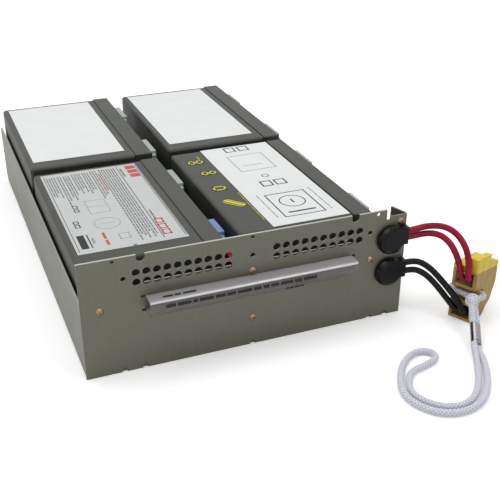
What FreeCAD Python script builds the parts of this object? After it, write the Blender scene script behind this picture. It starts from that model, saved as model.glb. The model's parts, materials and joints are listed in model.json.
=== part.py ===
"""Battery cartridge of a rack UPS: four sealed 12 V batteries on a folded steel tray.

Frame: millimetres, +Z up, +Y from the front panel to the rear lip, +X to the terminal side.
The origin is the bottom centre of the cartridge without its free wires, connector and cord.
Every body is built from the cartridge's datum corner (left edge, panel face, underside),
and `seat` moves it there, so X, Y and Z in the sketches are distances from that corner.
"""
import FreeCAD, Part
import math
import os

import Sketcher
from FreeCAD import Placement, Rotation, Vector

SIZES = {
    # front panel and tray
    "panel_height": 79.0,
    "sheet": 1.2,
    "bend_radius": 1.0,
    "cut_over": 1.0,
    "wall_fit": 0.3,
    "wall_height": 52.0,
    "wall_corner_radius": 5.0,
    "foot_chamfer": 7.0,
    "foot_chamfer_width": 5.0,
    "lip_height": 16.0,
    "lip_side_gap": 6.0,
    "ear_width": 10.4,
    "ear_over": 6.0,
    "flange_depth": 19.0,
    "flange_foot": 6.0,
    "flange_slope": 2.8,
    "right_drop": 5.2,
    "relief_cut_inset": 15.3,
    "relief_cut_width": 2.8,
    "relief_cut_depth": 7.4,
    # openings of the panel
    "vent_diameter": 4.9,
    "vent_pitch": 6.42,
    "vent_columns": 10,
    "vent_rows": 2,
    "vent_group_start": 34.7,
    "vent_drop": 11.8,
    "notch_offset": 70.5,
    "notch_width": 5.3,
    "notch_depth": 5.0,
    "pilot_offset": 81.6,
    "pilot_drop": 14.55,
    "pilot_diameter": 3.2,
    "edge_hole_offset": 87.2,
    "edge_hole_drop": 2.4,
    "edge_hole_diameter": 2.6,
    "foot_notch_diameter": 3.6,
    "foot_notch_level": 0.9,
    "foot_notch_inset": 24.0,
    "left_foot_notch": 37.1,
    "right_foot_notch": 11.6,
    "slot_height": 1.7,
    "slot_end_gap": 2.8,
    "slot_top": 50.4,
    "slot_spacing": 9.2,
    # pull strip
    "strip_width": 137.5,
    "strip_reach": 10.0,
    "strip_thickness": 0.9,
    "strip_nose_radius": 2.2,
    "strip_top_leaf": 8.6,
    "strip_bottom_leaf": 27.5,
    # rivets
    "rivet_head": 5.0,
    "rivet_head_rise": 1.1,
    "rivet_shank": 3.2,
    "rivet_tail": 1.6,
    "rivet_bore": 1.8,
    "rivet_bore_depth": 0.7,
    "rivet_set": 1.1,
    "wall_rivet_inset": 11.5,
    "wall_rivet_level": 45.4,
    "foot_rivet_inset": 25.5,
    "foot_rivet_level": 44.7,
    "strip_rivet_rise": 3.1,
    "leaf_rivet_level": 19.9,
    "flange_rivet_inset": 4.4,
    "flange_rivet_drop": 9.8,
    # batteries
    "battery_length": 151.0,
    "battery_thickness": 65.0,
    "case_width": 80.0,
    "lid_width": 14.0,
    "case_radius": 2.5,
    "lid_radius": 1.1,
    "rim_step": 0.5,
    "seam_width": 0.8,
    "seam_depth": 1.0,
    "side_gap": 1.8,
    "aisle": 11.2,
    "right_gap": 12.1,
    "front_gap": 18.0,
    "row_gap": 11.0,
    "rear_gap": 5.8,
    "rear_right_shift": 2.4,
    "front_right_shift": 2.0,
    "pad_thickness": 3.5,
    "pad_inset": 8.0,
    "vent_plate_inset": 23.5,
    "vent_plate_width": 22.0,
    "vent_plate_drop": 4.0,
    "vent_plate_radius": 2.0,
    "vent_plate_depth": 1.4,
    "vent_plate_fit": 0.3,
    "label_thickness": 0.2,
    "label_left_margin": 4.4,
    "label_right_margin": 5.0,
    "label_front_margin": 13.0,
    "label_rear_margin": 5.5,
    "tall_label_left_margin": 24.2,
    "tall_label_right_margin": 0.6,
    "tall_label_front_margin": 3.6,
    "tall_label_rear_margin": 1.4,
    # terminals and their boots
    "terminal_inset": 30.0,
    "terminal_drop": 12.0,
    "tab_width": 6.35,
    "tab_thickness": 0.8,
    "tab_rise": 6.0,
    "tab_root": 1.5,
    "tab_eye": 1.6,
    "tab_eye_inset": 2.3,
    "tab_chamfer": 1.0,
    "boot_length": 21.2,
    "boot_lead": 3.2,
    "boot_height": 9.0,
    "boot_depth": 7.0,
    "boot_radius": 1.6,
    "boot_front_bevel": 3.5,
    "boot_rear_bevel": 2.4,
    "boot_slot_fit": 0.4,
    # strain reliefs in the panel
    "relief_inset": 11.3,
    "relief_upper": 57.5,
    "relief_lower": 33.8,
    "relief_hole": 15.9,
    "relief_fit": 0.15,
    "relief_head": 20.4,
    "relief_head_rise": 5.4,
    "relief_crown": 3.2,
    "relief_rim": 1.2,
    "relief_snap": 17.2,
    "relief_tail": 6.0,
    "relief_room": 1.0,
    "nozzle_height": 12.2,
    "nozzle_depth": 5.0,
    "nozzle_reach": 10.3,
    "upper_nozzle_lift": 2.9,
    "lower_nozzle_lift": 2.3,
    "lead_spread": 4.6,
    # wires and connector
    "wire_diameter": 4.2,
    "plug_thickness": 17.0,
    "plug_wall": 2.0,
    "plug_radius": 1.2,
    "socket_depth": 10.0,
    "upper_socket_foot": 26.5,
    "lower_socket_foot": 2.0,
    "upper_socket_rise": 9.5,
    "lower_socket_rise": 10.0,
    "waist_foot": 13.5,
    "waist_rise": 11.0,
    "waist_depth": 5.4,
    "cord_eye_diameter": 6.4,
    "cord_eye_reach": 10.0,
    "cord_eye_level": 19.0,
    "mating_rise": 8.0,
    "mating_depth": 20.0,
    "channel_over": 0.5,
    "upper_mating_foot": 24.0,
    "lower_mating_foot": 3.5,
    "upper_mating_floor": 23.0,
    "lower_mating_floor": 13.0,
    "key_thickness": 5.0,
    "crimp_start": 6.0,
    "crimp_rise": 7.0,
    "crimp_fit": 0.3,
    "tongue_width": 7.6,
    "tongue_thickness": 2.6,
    "upper_tongue_end": 28.0,
    "lower_tongue_end": 17.5,
    # pull cord
    "cord_diameter": 4.4,
    "strand_spread": 4.7,
    "strand_tilt": 42.0,
    "ferrule_wall": 0.6,
    "ferrule_groove": 0.3,
    "ferrule_groove_place": 0.88,
    "ferrule_entry": 5.0,
    "ferrule_exit": 3.4,
    "knot_radius": 5.0,
    "knot_pinch": 0.55,
    "hitch_clearance": 0.7,
    "hitch_front": 2.6,
    "hitch_bend": 3.2,
    "floor_clearance": 0.05,
}

# free wires: points of the route from the strain relief to the connector, measured from the
# panel's lower right front corner
RED_UPPER = [
    (-1.0, -2.7, 62.8), (4.6, -2.7, 62.8), (11.3, -3.2, 63.8), (17.9, -5.4, 64.4),
    (24.1, -9.6, 64.1), (28.5, -15.4, 61.4), (30.7, -21.6, 56.6), (31.5, -26.6, 50.2),
    (31.3, -29.7, 41.4), (31.26, -29.63, 31.25), (39.31, -25.6, 31.25),
]
RED_LOWER = [
    (-1.0, -2.7, 58.1), (4.4, -2.7, 58.1), (10.5, -3.2, 58.7), (16.5, -5.6, 59.2),
    (21.6, -9.8, 58.2), (24.9, -15.0, 54.6), (26.7, -20.0, 49.2), (28.0, -23.8, 41.8),
    (29.25, -25.6, 31.25), (37.3, -21.58, 31.25),
]
BLACK_UPPER = [
    (-1.0, -2.7, 39.2), (4.6, -2.7, 39.2), (11.0, -3.6, 37.8), (16.8, -7.2, 33.8),
    (21.2, -13.0, 28.2), (25.2, -19.8, 21.8), (29.2, -26.2, 14.8), (31.26, -29.63, 7.0),
    (39.31, -25.6, 7.0),
]
BLACK_LOWER = [
    (-1.0, -2.7, 33.0), (4.4, -2.7, 33.0), (10.2, -3.8, 31.6), (15.5, -7.8, 28.0),
    (19.7, -13.6, 22.4), (23.6, -19.4, 15.8), (29.25, -25.6, 7.0), (37.3, -21.58, 7.0),
]
# leads inside the cartridge, in stretches: from the boot's mouth, from the front battery's
# corner beside it at the strain relief's level, and from the back of the strain relief
LEAD_DOWN = [
    (0.0, 0.0, 0.0), (0.0, -4.4, 0.0), (0.4, -13.0, -2.6), (1.0, -26.0, -12.2),
    (1.4, -40.0, -24.2), (1.7, -57.0, -32.8), (2.0, -83.0, -34.8),
]
LEAD_ALONG = [
    (1.8, 132.0, -12.7), (2.2, 82.0, -12.4), (1.9, 46.0, -12.1), (2.2, 24.0, -9.7),
]
BLACK_ROUND_CORNER = [
    (2.6, 12.0, -5.1), (3.6, 3.6, -1.5), (7.8, -2.2, -0.1), (17.6, -3.8, -0.1),
    (36.0, -3.2, -0.4),
]
BLACK_TO_RELIEF = [
    (-36.0, 6.9, 0.1), (-19.0, 7.4, -0.1), (-10.0, 7.3, 0.1), (-3.8, 7.3, 0.0),
    (0.0, 3.5, 0.0), (0.0, 0.0, 0.0),
]
BLACK_STRAIGHT_IN = [
    (-1.0, 22.8, -5.1), (-0.4, 14.2, -1.1), (0.0, 6.4, 0.0), (0.0, 0.0, 0.0),
]
RED_DOWN = [
    (0.0, 0.0, 0.0), (0.0, -4.4, 0.0), (0.4, -10.0, -2.8), (2.6, -14.2, -7.6),
    (8.6, -15.9, -11.6), (18.0, -15.7, -13.0), (36.0, -15.3, -13.6),
]
RED_TO_RELIEF = [
    (-38.0, 7.0, -13.4), (-20.0, 7.4, -13.5), (-9.6, 7.5, -13.1), (-3.2, 7.7, -10.9),
    (-0.4, 7.9, -6.9), (0.0, 8.0, -3.5), (0.0, 4.9, 0.0), (0.0, 0.0, 0.0),
]
RED_OUT = [(0.0, 0.0, 0.0), (0.0, -4.4, 0.0), (2.2, -10.2, 0.1)]
RED_STRAIGHT_IN = [(0.1, 8.6, 0.0), (0.0, 4.2, 0.0), (0.0, 0.0, 0.0)]
# jumper between the rows, from the rear battery's boot and to the front battery's
JUMPER_DOWN = [
    (0.0, 0.0, 0.0), (0.0, -4.4, 0.0), (0.2, -13.0, -2.4), (0.7, -25.0, -10.6),
    (1.0, -39.0, -17.6),
]
JUMPER_BACK = [
    (0.9, 13.0, -20.2), (0.6, -6.0, -19.9), (0.4, -17.2, -19.6), (0.2, -23.4, -14.0),
    (0.1, -23.6, -5.8), (0.0, -17.6, -0.4), (0.0, -8.2, 0.0), (0.0, 0.0, 0.0),
]
# connector seen from its side: distance from the face with the sockets, and height
HOUSING_OUTLINE = [(0, 0), (15, 0), (20, 5.5), (24.5, 8.5), (30, 21), (30, 33), (0, 37.5)]
CAP_OUTLINE = [(0, 37.5), (30, 33), (31, 34.5), (29, 37.3), (0, 40.8)]
KEY_OUTLINE = [(0, 39), (28, 36), (29, 37.3), (18.5, 40.9), (14.5, 42.4), (20.5, 44.4),
               (8, 46.8), (0, 47.5)]
# connector and pull cord, from the panel's lower right front corner: the housing's corner and
# turn, the knot, the ferrule's ends, and the loop's route from one end of it back to it
PLUG_CORNER = (36.0, -32.4, 0.0)
PLUG_TURN = 26.565
KNOT_CENTRE = (33.1, -35.2, 20.3)
FERRULE_TOP = (27.6, -48.0, 10.0)
FERRULE_END = (19.8, -61.5, 5.0)
LOOP_ON_FLOOR = [
    (18.1, -71.6), (14.9, -78.4), (10.8, -86.0), (5.9, -93.6), (0.2, -101.0), (-6.2, -107.2),
    (-13.9, -111.5), (-22.5, -113.2), (-31.1, -112.0), (-38.7, -107.8), (-44.1, -100.8),
    (-47.2, -92.4), (-47.1, -83.6), (-43.3, -75.0), (-38.3, -67.0), (-32.3, -59.6),
    (-25.3, -53.8), (-18.1, -50.8), (-12.1, -51.8), (-8.1, -55.4), (-8.7, -60.2),
    (-13.5, -63.6), (-21.1, -65.9), (-29.1, -67.3), (-34.7, -71.2), (-38.9, -77.6),
    (-42.1, -84.6), (-41.5, -92.4), (-37.9, -99.8), (-31.9, -105.4), (-23.9, -108.0),
    (-15.9, -106.6), (-9.1, -102.6), (-3.1, -96.8), (2.1, -90.0), (6.7, -82.8), (10.9, -75.6),
]
LOOP_RISE = [(14.1, -69.6, 3.6)]

doc = FreeCAD.newDocument("ups_battery_cartridge")
sheet = doc.addObject("Spreadsheet::Sheet", "Sizes")
for row, (name, value) in enumerate(SIZES.items(), start=1):
    sheet.set(f"A{row}", name)
    sheet.set(f"B{row}", str(value))
    sheet.setAlias(f"B{row}", name)
doc.recompute()

# places that several pieces share, as expressions on the sheet
CELL_WIDTH = "(Sizes.case_width + Sizes.lid_width)"
TRAY_WIDTH = f"(2 * Sizes.sheet + Sizes.side_gap + 2 * {CELL_WIDTH} + Sizes.aisle + Sizes.right_gap)"
TRAY_DEPTH = ("(Sizes.front_gap + 2 * Sizes.battery_length + Sizes.row_gap + Sizes.rear_gap"
              " + Sizes.sheet)")
FLANGE_FACE = f"({TRAY_WIDTH} + Sizes.wall_fit)"
PANEL_WIDTH = f"({FLANGE_FACE} + Sizes.sheet)"
HALF = f"({PANEL_WIDTH} / 2)"
FRONT = f"((Sizes.strip_reach - {TRAY_DEPTH}) / 2)"
LOW_TOP = "(Sizes.panel_height - Sizes.right_drop)"
STRIP_LEFT = f"({HALF} - Sizes.strip_width / 2)"
SLOT_LOW = "(Sizes.slot_top - Sizes.slot_spacing)"
RELIEF_X = f"({PANEL_WIDTH} - Sizes.relief_inset)"
CASE_FOOT = "(Sizes.sheet + Sizes.pad_thickness)"
LEFT_COLUMN = "(Sizes.sheet + Sizes.side_gap)"
RIGHT_COLUMN = f"({LEFT_COLUMN} + {CELL_WIDTH} + Sizes.aisle)"
FRONT_ROW = "Sizes.front_gap"
REAR_ROW = "(Sizes.front_gap + Sizes.battery_length + Sizes.row_gap)"
# each battery's column and row; the right pair lies a little loose in the tray
PLACES = {
    "front_left": (LEFT_COLUMN, FRONT_ROW),
    "front_right": (RIGHT_COLUMN, f"({FRONT_ROW} + Sizes.front_right_shift)"),
    "rear_left": (LEFT_COLUMN, REAR_ROW),
    "rear_right": (f"({RIGHT_COLUMN} + Sizes.rear_right_shift)", REAR_ROW),
}
# each rivet's place in the panel: two in the tray's ears, two in the strip, one in the flange
RIVETS = [
    ("Sizes.wall_rivet_inset", "Sizes.wall_rivet_level"),
    (f"{PANEL_WIDTH} - Sizes.foot_rivet_inset", "Sizes.foot_rivet_level"),
    (HALF, "Sizes.slot_top + Sizes.strip_rivet_rise"),
    (HALF, "Sizes.leaf_rivet_level"),
    (f"{PANEL_WIDTH} - Sizes.flange_rivet_inset",
     "Sizes.panel_height - Sizes.flange_rivet_drop"),
]
FOOT_NOTCHES = ["Sizes.foot_notch_inset", "Sizes.left_foot_notch", HALF,
                f"{PANEL_WIDTH} - Sizes.foot_notch_inset",
                f"{PANEL_WIDTH} - Sizes.right_foot_notch"]

parts = []


def size(expression):
    """Value of an expression on the sheet."""
    return float(sheet.evalExpression(expression))


def new_body(label):
    """Empty body that becomes one node."""
    body = doc.addObject("PartDesign::Body", label)
    body.Label = label
    parts.append(body)
    return body


def seat(body, across="0", along="0", up="0"):
    """Move a body from the datum corner's frame to its place in the cartridge."""
    body.setExpression("Placement.Base.x", f"{across} - {HALF}")
    body.setExpression("Placement.Base.y", f"{along} + {FRONT}")
    body.setExpression("Placement.Base.z", up)


def new_sketch(body, plane, offset="0"):
    """Sketch on one of the body's own origin planes, moved along its normal."""
    sketch = body.newObject("Sketcher::SketchObject", "Sketch")
    support = next(f for f in body.Origin.OriginFeatures if f.Role == plane)
    sketch.AttachmentSupport = [(support, "")]
    sketch.MapMode = "FlatFace"
    sketch.setExpression("AttachmentOffset.Base.z", offset)
    return sketch


def tie(sketch, geometry, point, x, y):
    """Hold a point of a sketch at two expressions from the sketch's origin."""
    for kind, expression in (("DistanceX", x), ("DistanceY", y)):
        rule = Sketcher.Constraint(kind, -1, 1, geometry, point, size(expression))
        sketch.setExpression(f"Constraints[{sketch.addConstraint(rule)}]", expression)


def polygon(sketch, corners):
    """Closed outline through corners given as pairs of expressions."""
    points = [Vector(size(x), size(y), 0) for x, y in corners]
    lines = []
    for start, end in zip(points, points[1:] + points[:1]):
        lines.append(sketch.addGeometry(Part.LineSegment(start, end), False))
    for line, following in zip(lines, lines[1:] + lines[:1]):
        sketch.addConstraint(Sketcher.Constraint("Coincident", line, 2, following, 1))
    for line, (x, y) in zip(lines, corners):
        tie(sketch, line, 1, x, y)
    return sketch


def rectangle(sketch, left, foot, width, rise):
    """Rectangle from its lower left corner, its width and its rise."""
    right = f"({left}) + ({width})"
    top = f"({foot}) + ({rise})"
    return polygon(sketch, [(left, foot), (right, foot), (right, top), (left, top)])


def plain(points):
    """Points given as numbers, written as the expressions that `polygon` takes."""
    return [(str(x), str(y)) for x, y in points]


def circle(sketch, x, y, diameter):
    """Circle held by its centre and diameter."""
    shape = Part.Circle(Vector(size(x), size(y), 0), Vector(0, 0, 1), size(diameter) / 2)
    index = sketch.addGeometry(shape, False)
    rule = sketch.addConstraint(Sketcher.Constraint("Diameter", index, size(diameter)))
    sketch.setExpression(f"Constraints[{rule}]", diameter)
    tie(sketch, index, 3, x, y)
    return sketch


def pad(body, sketch, length, backward=False):
    """Extrude a sketch; on XZ planes `backward` runs towards +Y."""
    feature = body.newObject("PartDesign::Pad", "Pad")
    feature.Profile = sketch
    feature.setExpression("Length", length)
    feature.Reversed = backward
    doc.recompute()
    return feature


def pocket(body, sketch, length=None, backward=False):
    """Cut a sketch through everything, or to a depth; it must remove metal."""
    before = body.Shape.Volume
    feature = body.newObject("PartDesign::Pocket", "Pocket")
    feature.Profile = sketch
    if length is None:
        feature.Type = "ThroughAll"
        feature.Midplane = True
    else:
        feature.setExpression("Length", length)
        feature.Reversed = backward
    doc.recompute()
    if body.Shape.Volume > before - 1e-6:
        raise RuntimeError(f"a pocket of {body.Label} cuts nothing")
    return feature


def dress(body, kind, radius, wanted):
    """Fillet or chamfer the edges of the body's tip that satisfy `wanted`."""
    base = body.Tip
    names = [f"Edge{i}" for i, edge in enumerate(base.Shape.Edges, start=1) if wanted(edge)]
    if not names:
        raise RuntimeError(f"no edge of {body.Label} to dress")
    feature = body.newObject(f"PartDesign::{kind}", kind)
    feature.Base = (base, names)
    feature.setExpression("Radius" if kind == "Fillet" else "Size", radius)
    doc.recompute()
    return feature


def runs_along(edge, axis):
    """True for a straight edge parallel to an axis."""
    if edge.Curve.TypeId != "Part::GeomLine":
        return False
    return abs(abs(edge.Curve.Direction.dot(axis)) - 1) < 1e-6


def passes(edge, **place):
    """True when the edge's middle has the given coordinates."""
    middle = edge.CenterOfMass
    return all(abs(getattr(middle, axis) - value) < 1e-3 for axis, value in place.items())


X_AXIS, Y_AXIS, Z_AXIS = Vector(1, 0, 0), Vector(0, 1, 0), Vector(0, 0, 1)


def make_tray():
    """U-shaped steel tray: floor, two walls, rear lip and two riveting ears at the front."""
    body = new_body("tray")
    width, depth, gauge = size(TRAY_WIDTH), size(TRAY_DEPTH), size("Sizes.sheet")
    section = polygon(new_sketch(body, "XZ_Plane", "-Sizes.sheet"), [
        ("0", "0"), (TRAY_WIDTH, "0"), (TRAY_WIDTH, "Sizes.wall_height"),
        (f"{TRAY_WIDTH} - Sizes.sheet", "Sizes.wall_height"),
        (f"{TRAY_WIDTH} - Sizes.sheet", "Sizes.sheet"), ("Sizes.sheet", "Sizes.sheet"),
        ("Sizes.sheet", "Sizes.wall_height"), ("0", "Sizes.wall_height")])
    pad(body, section, f"{TRAY_DEPTH} - Sizes.sheet", backward=True)
    dress(body, "Fillet", "Sizes.bend_radius + Sizes.sheet",
          lambda e: runs_along(e, Y_AXIS) and (passes(e, x=0, z=0) or passes(e, x=width, z=0)))
    dress(body, "Fillet", "Sizes.bend_radius",
          lambda e: runs_along(e, Y_AXIS) and
          (passes(e, x=gauge, z=gauge) or passes(e, x=width - gauge, z=gauge)))
    lip_width = f"{TRAY_WIDTH} - 2 * Sizes.lip_side_gap"
    lip = rectangle(new_sketch(body, "XZ_Plane", f"Sizes.sheet - {TRAY_DEPTH}"),
                    "Sizes.lip_side_gap", "0", lip_width, "Sizes.lip_height")
    pad(body, lip, "Sizes.sheet", backward=True)
    dress(body, "Fillet", "Sizes.bend_radius",
          lambda e: runs_along(e, X_AXIS) and passes(e, y=depth - gauge, z=gauge))
    for side in ("0", f"{TRAY_WIDTH} - Sizes.foot_chamfer_width"):
        corner = polygon(new_sketch(body, "YZ_Plane", side), [
            (f"{TRAY_DEPTH} - Sizes.foot_chamfer", "-Sizes.cut_over"),
            (f"{TRAY_DEPTH} + Sizes.cut_over", "-Sizes.cut_over"),
            (f"{TRAY_DEPTH} + Sizes.cut_over", "Sizes.foot_chamfer"),
            (TRAY_DEPTH, "Sizes.foot_chamfer")])
        pocket(body, corner, "Sizes.foot_chamfer_width", backward=True)
    dress(body, "Fillet", "Sizes.wall_corner_radius",
          lambda e: runs_along(e, X_AXIS) and passes(e, y=depth, z=size("Sizes.wall_height")))
    room = rectangle(new_sketch(body, "YZ_Plane", TRAY_WIDTH), "0",
                     "Sizes.relief_lower - Sizes.relief_snap / 2 - Sizes.relief_room",
                     "Sizes.sheet + Sizes.relief_tail + Sizes.relief_room",
                     "Sizes.relief_snap + 2 * Sizes.relief_room")
    pocket(body, room, "Sizes.sheet")
    for rivet_x, rivet_z in RIVETS[:2]:
        ear = rectangle(new_sketch(body, "XZ_Plane", "-Sizes.sheet"),
                        f"({rivet_x}) - Sizes.ear_width / 2", "Sizes.sheet / 2",
                        "Sizes.ear_width", f"({rivet_z}) + Sizes.ear_over - Sizes.sheet / 2")
        pad(body, ear, "Sizes.sheet", backward=True)
    dress(body, "Fillet", "Sizes.bend_radius",
          lambda e: runs_along(e, X_AXIS) and passes(e, y=2 * gauge, z=gauge))
    holes = new_sketch(body, "XZ_Plane", "-Sizes.sheet / 2")
    for rivet_x, rivet_z in RIVETS[:2]:
        circle(holes, rivet_x, rivet_z, "Sizes.rivet_shank")
    pocket(body, holes, "Sizes.sheet * 2")
    seat(body)


def make_front_panel():
    """Perforated front panel with its return flange, slots, notches and holes."""
    body = new_body("front_panel")
    width, gauge = size(PANEL_WIDTH), size("Sizes.sheet")
    cut_left = f"{PANEL_WIDTH} - Sizes.relief_cut_inset"
    cut_right = f"{cut_left} + Sizes.relief_cut_width"
    cut_foot = "Sizes.panel_height - Sizes.relief_cut_depth"
    face = polygon(new_sketch(body, "XZ_Plane"), [
        ("0", "0"), (PANEL_WIDTH, "0"), (PANEL_WIDTH, LOW_TOP),
        (cut_right, LOW_TOP), (cut_right, cut_foot), (cut_left, cut_foot),
        (cut_left, "Sizes.panel_height"), ("0", "Sizes.panel_height")])
    pad(body, face, "Sizes.sheet", backward=True)
    flange = polygon(new_sketch(body, "YZ_Plane", FLANGE_FACE), [
        ("Sizes.sheet / 2", "Sizes.flange_foot"), ("Sizes.flange_depth", "Sizes.flange_foot"),
        ("Sizes.flange_depth", f"{LOW_TOP} - Sizes.flange_slope"),
        ("Sizes.sheet * 2 + Sizes.bend_radius", LOW_TOP), ("Sizes.sheet / 2", LOW_TOP)])
    pad(body, flange, "Sizes.sheet")
    dress(body, "Fillet", "Sizes.wall_fit",
          lambda e: runs_along(e, Z_AXIS) and passes(e, x=width - gauge, y=gauge))
    dress(body, "Fillet", "Sizes.bend_radius",
          lambda e: runs_along(e, Z_AXIS) and passes(e, x=width, y=0))
    vents = new_sketch(body, "XZ_Plane")
    mirrored_start = (f"{PANEL_WIDTH} - Sizes.vent_group_start"
                      " - (Sizes.vent_columns - 1) * Sizes.vent_pitch")
    for row in range(round(size("Sizes.vent_rows"))):
        level = f"Sizes.panel_height - Sizes.vent_drop - {row} * Sizes.vent_pitch"
        for start in ("Sizes.vent_group_start", mirrored_start):
            circle(vents, start, level, "Sizes.vent_diameter")
    first = pocket(body, vents)
    grid = body.newObject("PartDesign::LinearPattern", "VentGrid")
    grid.Originals = [first]
    grid.Direction = (vents, ["H_Axis"])
    grid.Mode = "Spacing"
    grid.setExpression("Offset", "Sizes.vent_pitch")
    grid.setExpression("Occurrences", "Sizes.vent_columns")
    body.Tip = grid
    doc.recompute()
    slots = new_sketch(body, "XZ_Plane")
    slot_left = f"{STRIP_LEFT} - Sizes.slot_end_gap"
    slot_width = "Sizes.strip_width + 2 * Sizes.slot_end_gap"
    for level in ("Sizes.slot_top", SLOT_LOW):
        rectangle(slots, slot_left, f"{level} - Sizes.slot_height / 2", slot_width,
                  "Sizes.slot_height")
    pocket(body, slots)
    rounds = new_sketch(body, "XZ_Plane")
    for sign in ("-", "+"):
        pilot_x = f"{HALF} {sign} Sizes.pilot_offset"
        circle(rounds, pilot_x, "Sizes.panel_height - Sizes.pilot_drop", "Sizes.pilot_diameter")
        edge_x = f"{HALF} {sign} Sizes.edge_hole_offset"
        circle(rounds, edge_x, "Sizes.panel_height - Sizes.edge_hole_drop",
               "Sizes.edge_hole_diameter")
    circle(rounds, HALF, "Sizes.panel_height - Sizes.pilot_drop", "Sizes.pilot_diameter")
    circle(rounds, HALF, "Sizes.panel_height - Sizes.edge_hole_drop",
           "Sizes.edge_hole_diameter")
    for level in ("Sizes.relief_upper", "Sizes.relief_lower"):
        circle(rounds, RELIEF_X, level, "Sizes.relief_hole")
    for rivet_x, rivet_z in RIVETS:
        circle(rounds, rivet_x, rivet_z, "Sizes.rivet_shank")
    for notch_x in FOOT_NOTCHES:
        circle(rounds, notch_x, "Sizes.foot_notch_level", "Sizes.foot_notch_diameter")
    pocket(body, rounds)
    for sign in ("-", "+"):
        centre = f"{HALF} {sign} Sizes.notch_offset"
        seat_z = "Sizes.panel_height - Sizes.notch_depth + Sizes.notch_width / 2"
        rounded = circle(new_sketch(body, "XZ_Plane"), centre, seat_z, "Sizes.notch_width")
        pocket(body, rounded)
        throat = rectangle(new_sketch(body, "XZ_Plane"), f"{centre} - Sizes.notch_width / 2",
                           seat_z, "Sizes.notch_width", "Sizes.notch_depth")
        pocket(body, throat)
    seat(body)


def make_pull_strip():
    """Clear pull strip threaded through the two slots, its leaves behind the panel."""
    body = new_body("pull_strip")
    film = "Sizes.strip_thickness"
    upper, lower = f"(Sizes.slot_top + {film} / 2)", f"({SLOT_LOW} - {film} / 2)"
    back, inner = f"(Sizes.sheet + {film})", "(-Sizes.strip_reach + Sizes.strip_thickness)"
    section = polygon(new_sketch(body, "YZ_Plane", STRIP_LEFT), [
        ("Sizes.sheet", f"{upper} + Sizes.strip_top_leaf"), ("Sizes.sheet", upper),
        ("-Sizes.strip_reach", upper), ("-Sizes.strip_reach", lower), ("Sizes.sheet", lower),
        ("Sizes.sheet", f"{lower} - Sizes.strip_bottom_leaf"),
        (back, f"{lower} - Sizes.strip_bottom_leaf"), (back, f"{lower} + {film}"),
        (inner, f"{lower} + {film}"), (inner, f"{upper} - {film}"),
        (back, f"{upper} - {film}"), (back, f"{upper} + Sizes.strip_top_leaf")])
    pad(body, section, "Sizes.strip_width")
    nose = -size("Sizes.strip_reach")
    dress(body, "Fillet", "Sizes.strip_nose_radius",
          lambda e: runs_along(e, X_AXIS) and passes(e, y=nose))
    dress(body, "Fillet", f"Sizes.strip_nose_radius - {film}",
          lambda e: runs_along(e, X_AXIS) and passes(e, y=size(inner)))
    holes = new_sketch(body, "XZ_Plane", "-Sizes.sheet")
    for rivet_x, rivet_z in RIVETS[2:4]:
        circle(holes, rivet_x, rivet_z, "Sizes.rivet_shank")
    pocket(body, holes, f"{film} * 2")
    seat(body)


def rivet(grip):
    """Blind rivet along +Y: domed head before Y = 0, set tail behind the gripped sheets."""
    head, rise = size("Sizes.rivet_head") / 2, size("Sizes.rivet_head_rise")
    shank, tail = size("Sizes.rivet_shank") / 2, size("Sizes.rivet_tail")
    bore, bore_floor = size("Sizes.rivet_bore") / 2, size("Sizes.rivet_bore_depth") - rise
    half_way = Vector((bore + head) / 2, -0.8 * rise, 0)
    crown = Part.Arc(Vector(bore, -rise, 0), half_way, Vector(head, 0, 0))
    set_radius = size("Sizes.rivet_shank + Sizes.rivet_set") / 2
    corners = [(head, 0), (shank, 0), (shank, grip), (set_radius, grip),
               (set_radius, grip + tail), (0, grip + tail), (0, bore_floor),
               (bore, bore_floor), (bore, -rise)]
    points = [Vector(x, y, 0) for x, y in corners]
    edges = [crown.toShape()]
    edges += [Part.makeLine(a, b) for a, b in zip(points, points[1:])]
    return Part.Face(Part.Wire(edges)).revolve(Vector(0, 0, 0), Y_AXIS, 360)


def make_rivets():
    """All blind rivets of the panel; each grips what lies behind it."""
    panel, ear = size("Sizes.sheet"), 2 * size("Sizes.sheet")
    leaf = panel + size("Sizes.strip_thickness")
    solids = []
    for (x, z), grip in zip(RIVETS, (ear, ear, leaf, leaf, panel)):
        copy = rivet(grip)
        copy.translate(Vector(size(x) - size(HALF), size(FRONT), size(z)))
        solids.append(copy)
    add_feature("panel_rivets", Part.makeCompound(solids))


def add_feature(label, shape):
    """Node whose shape is set directly; its Placement stays at the part's origin."""
    feature = doc.addObject("Part::Feature", label)
    feature.Label = label
    feature.Shape = shape
    feature.Placement = Placement()
    parts.append(feature)
    return feature


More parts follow.
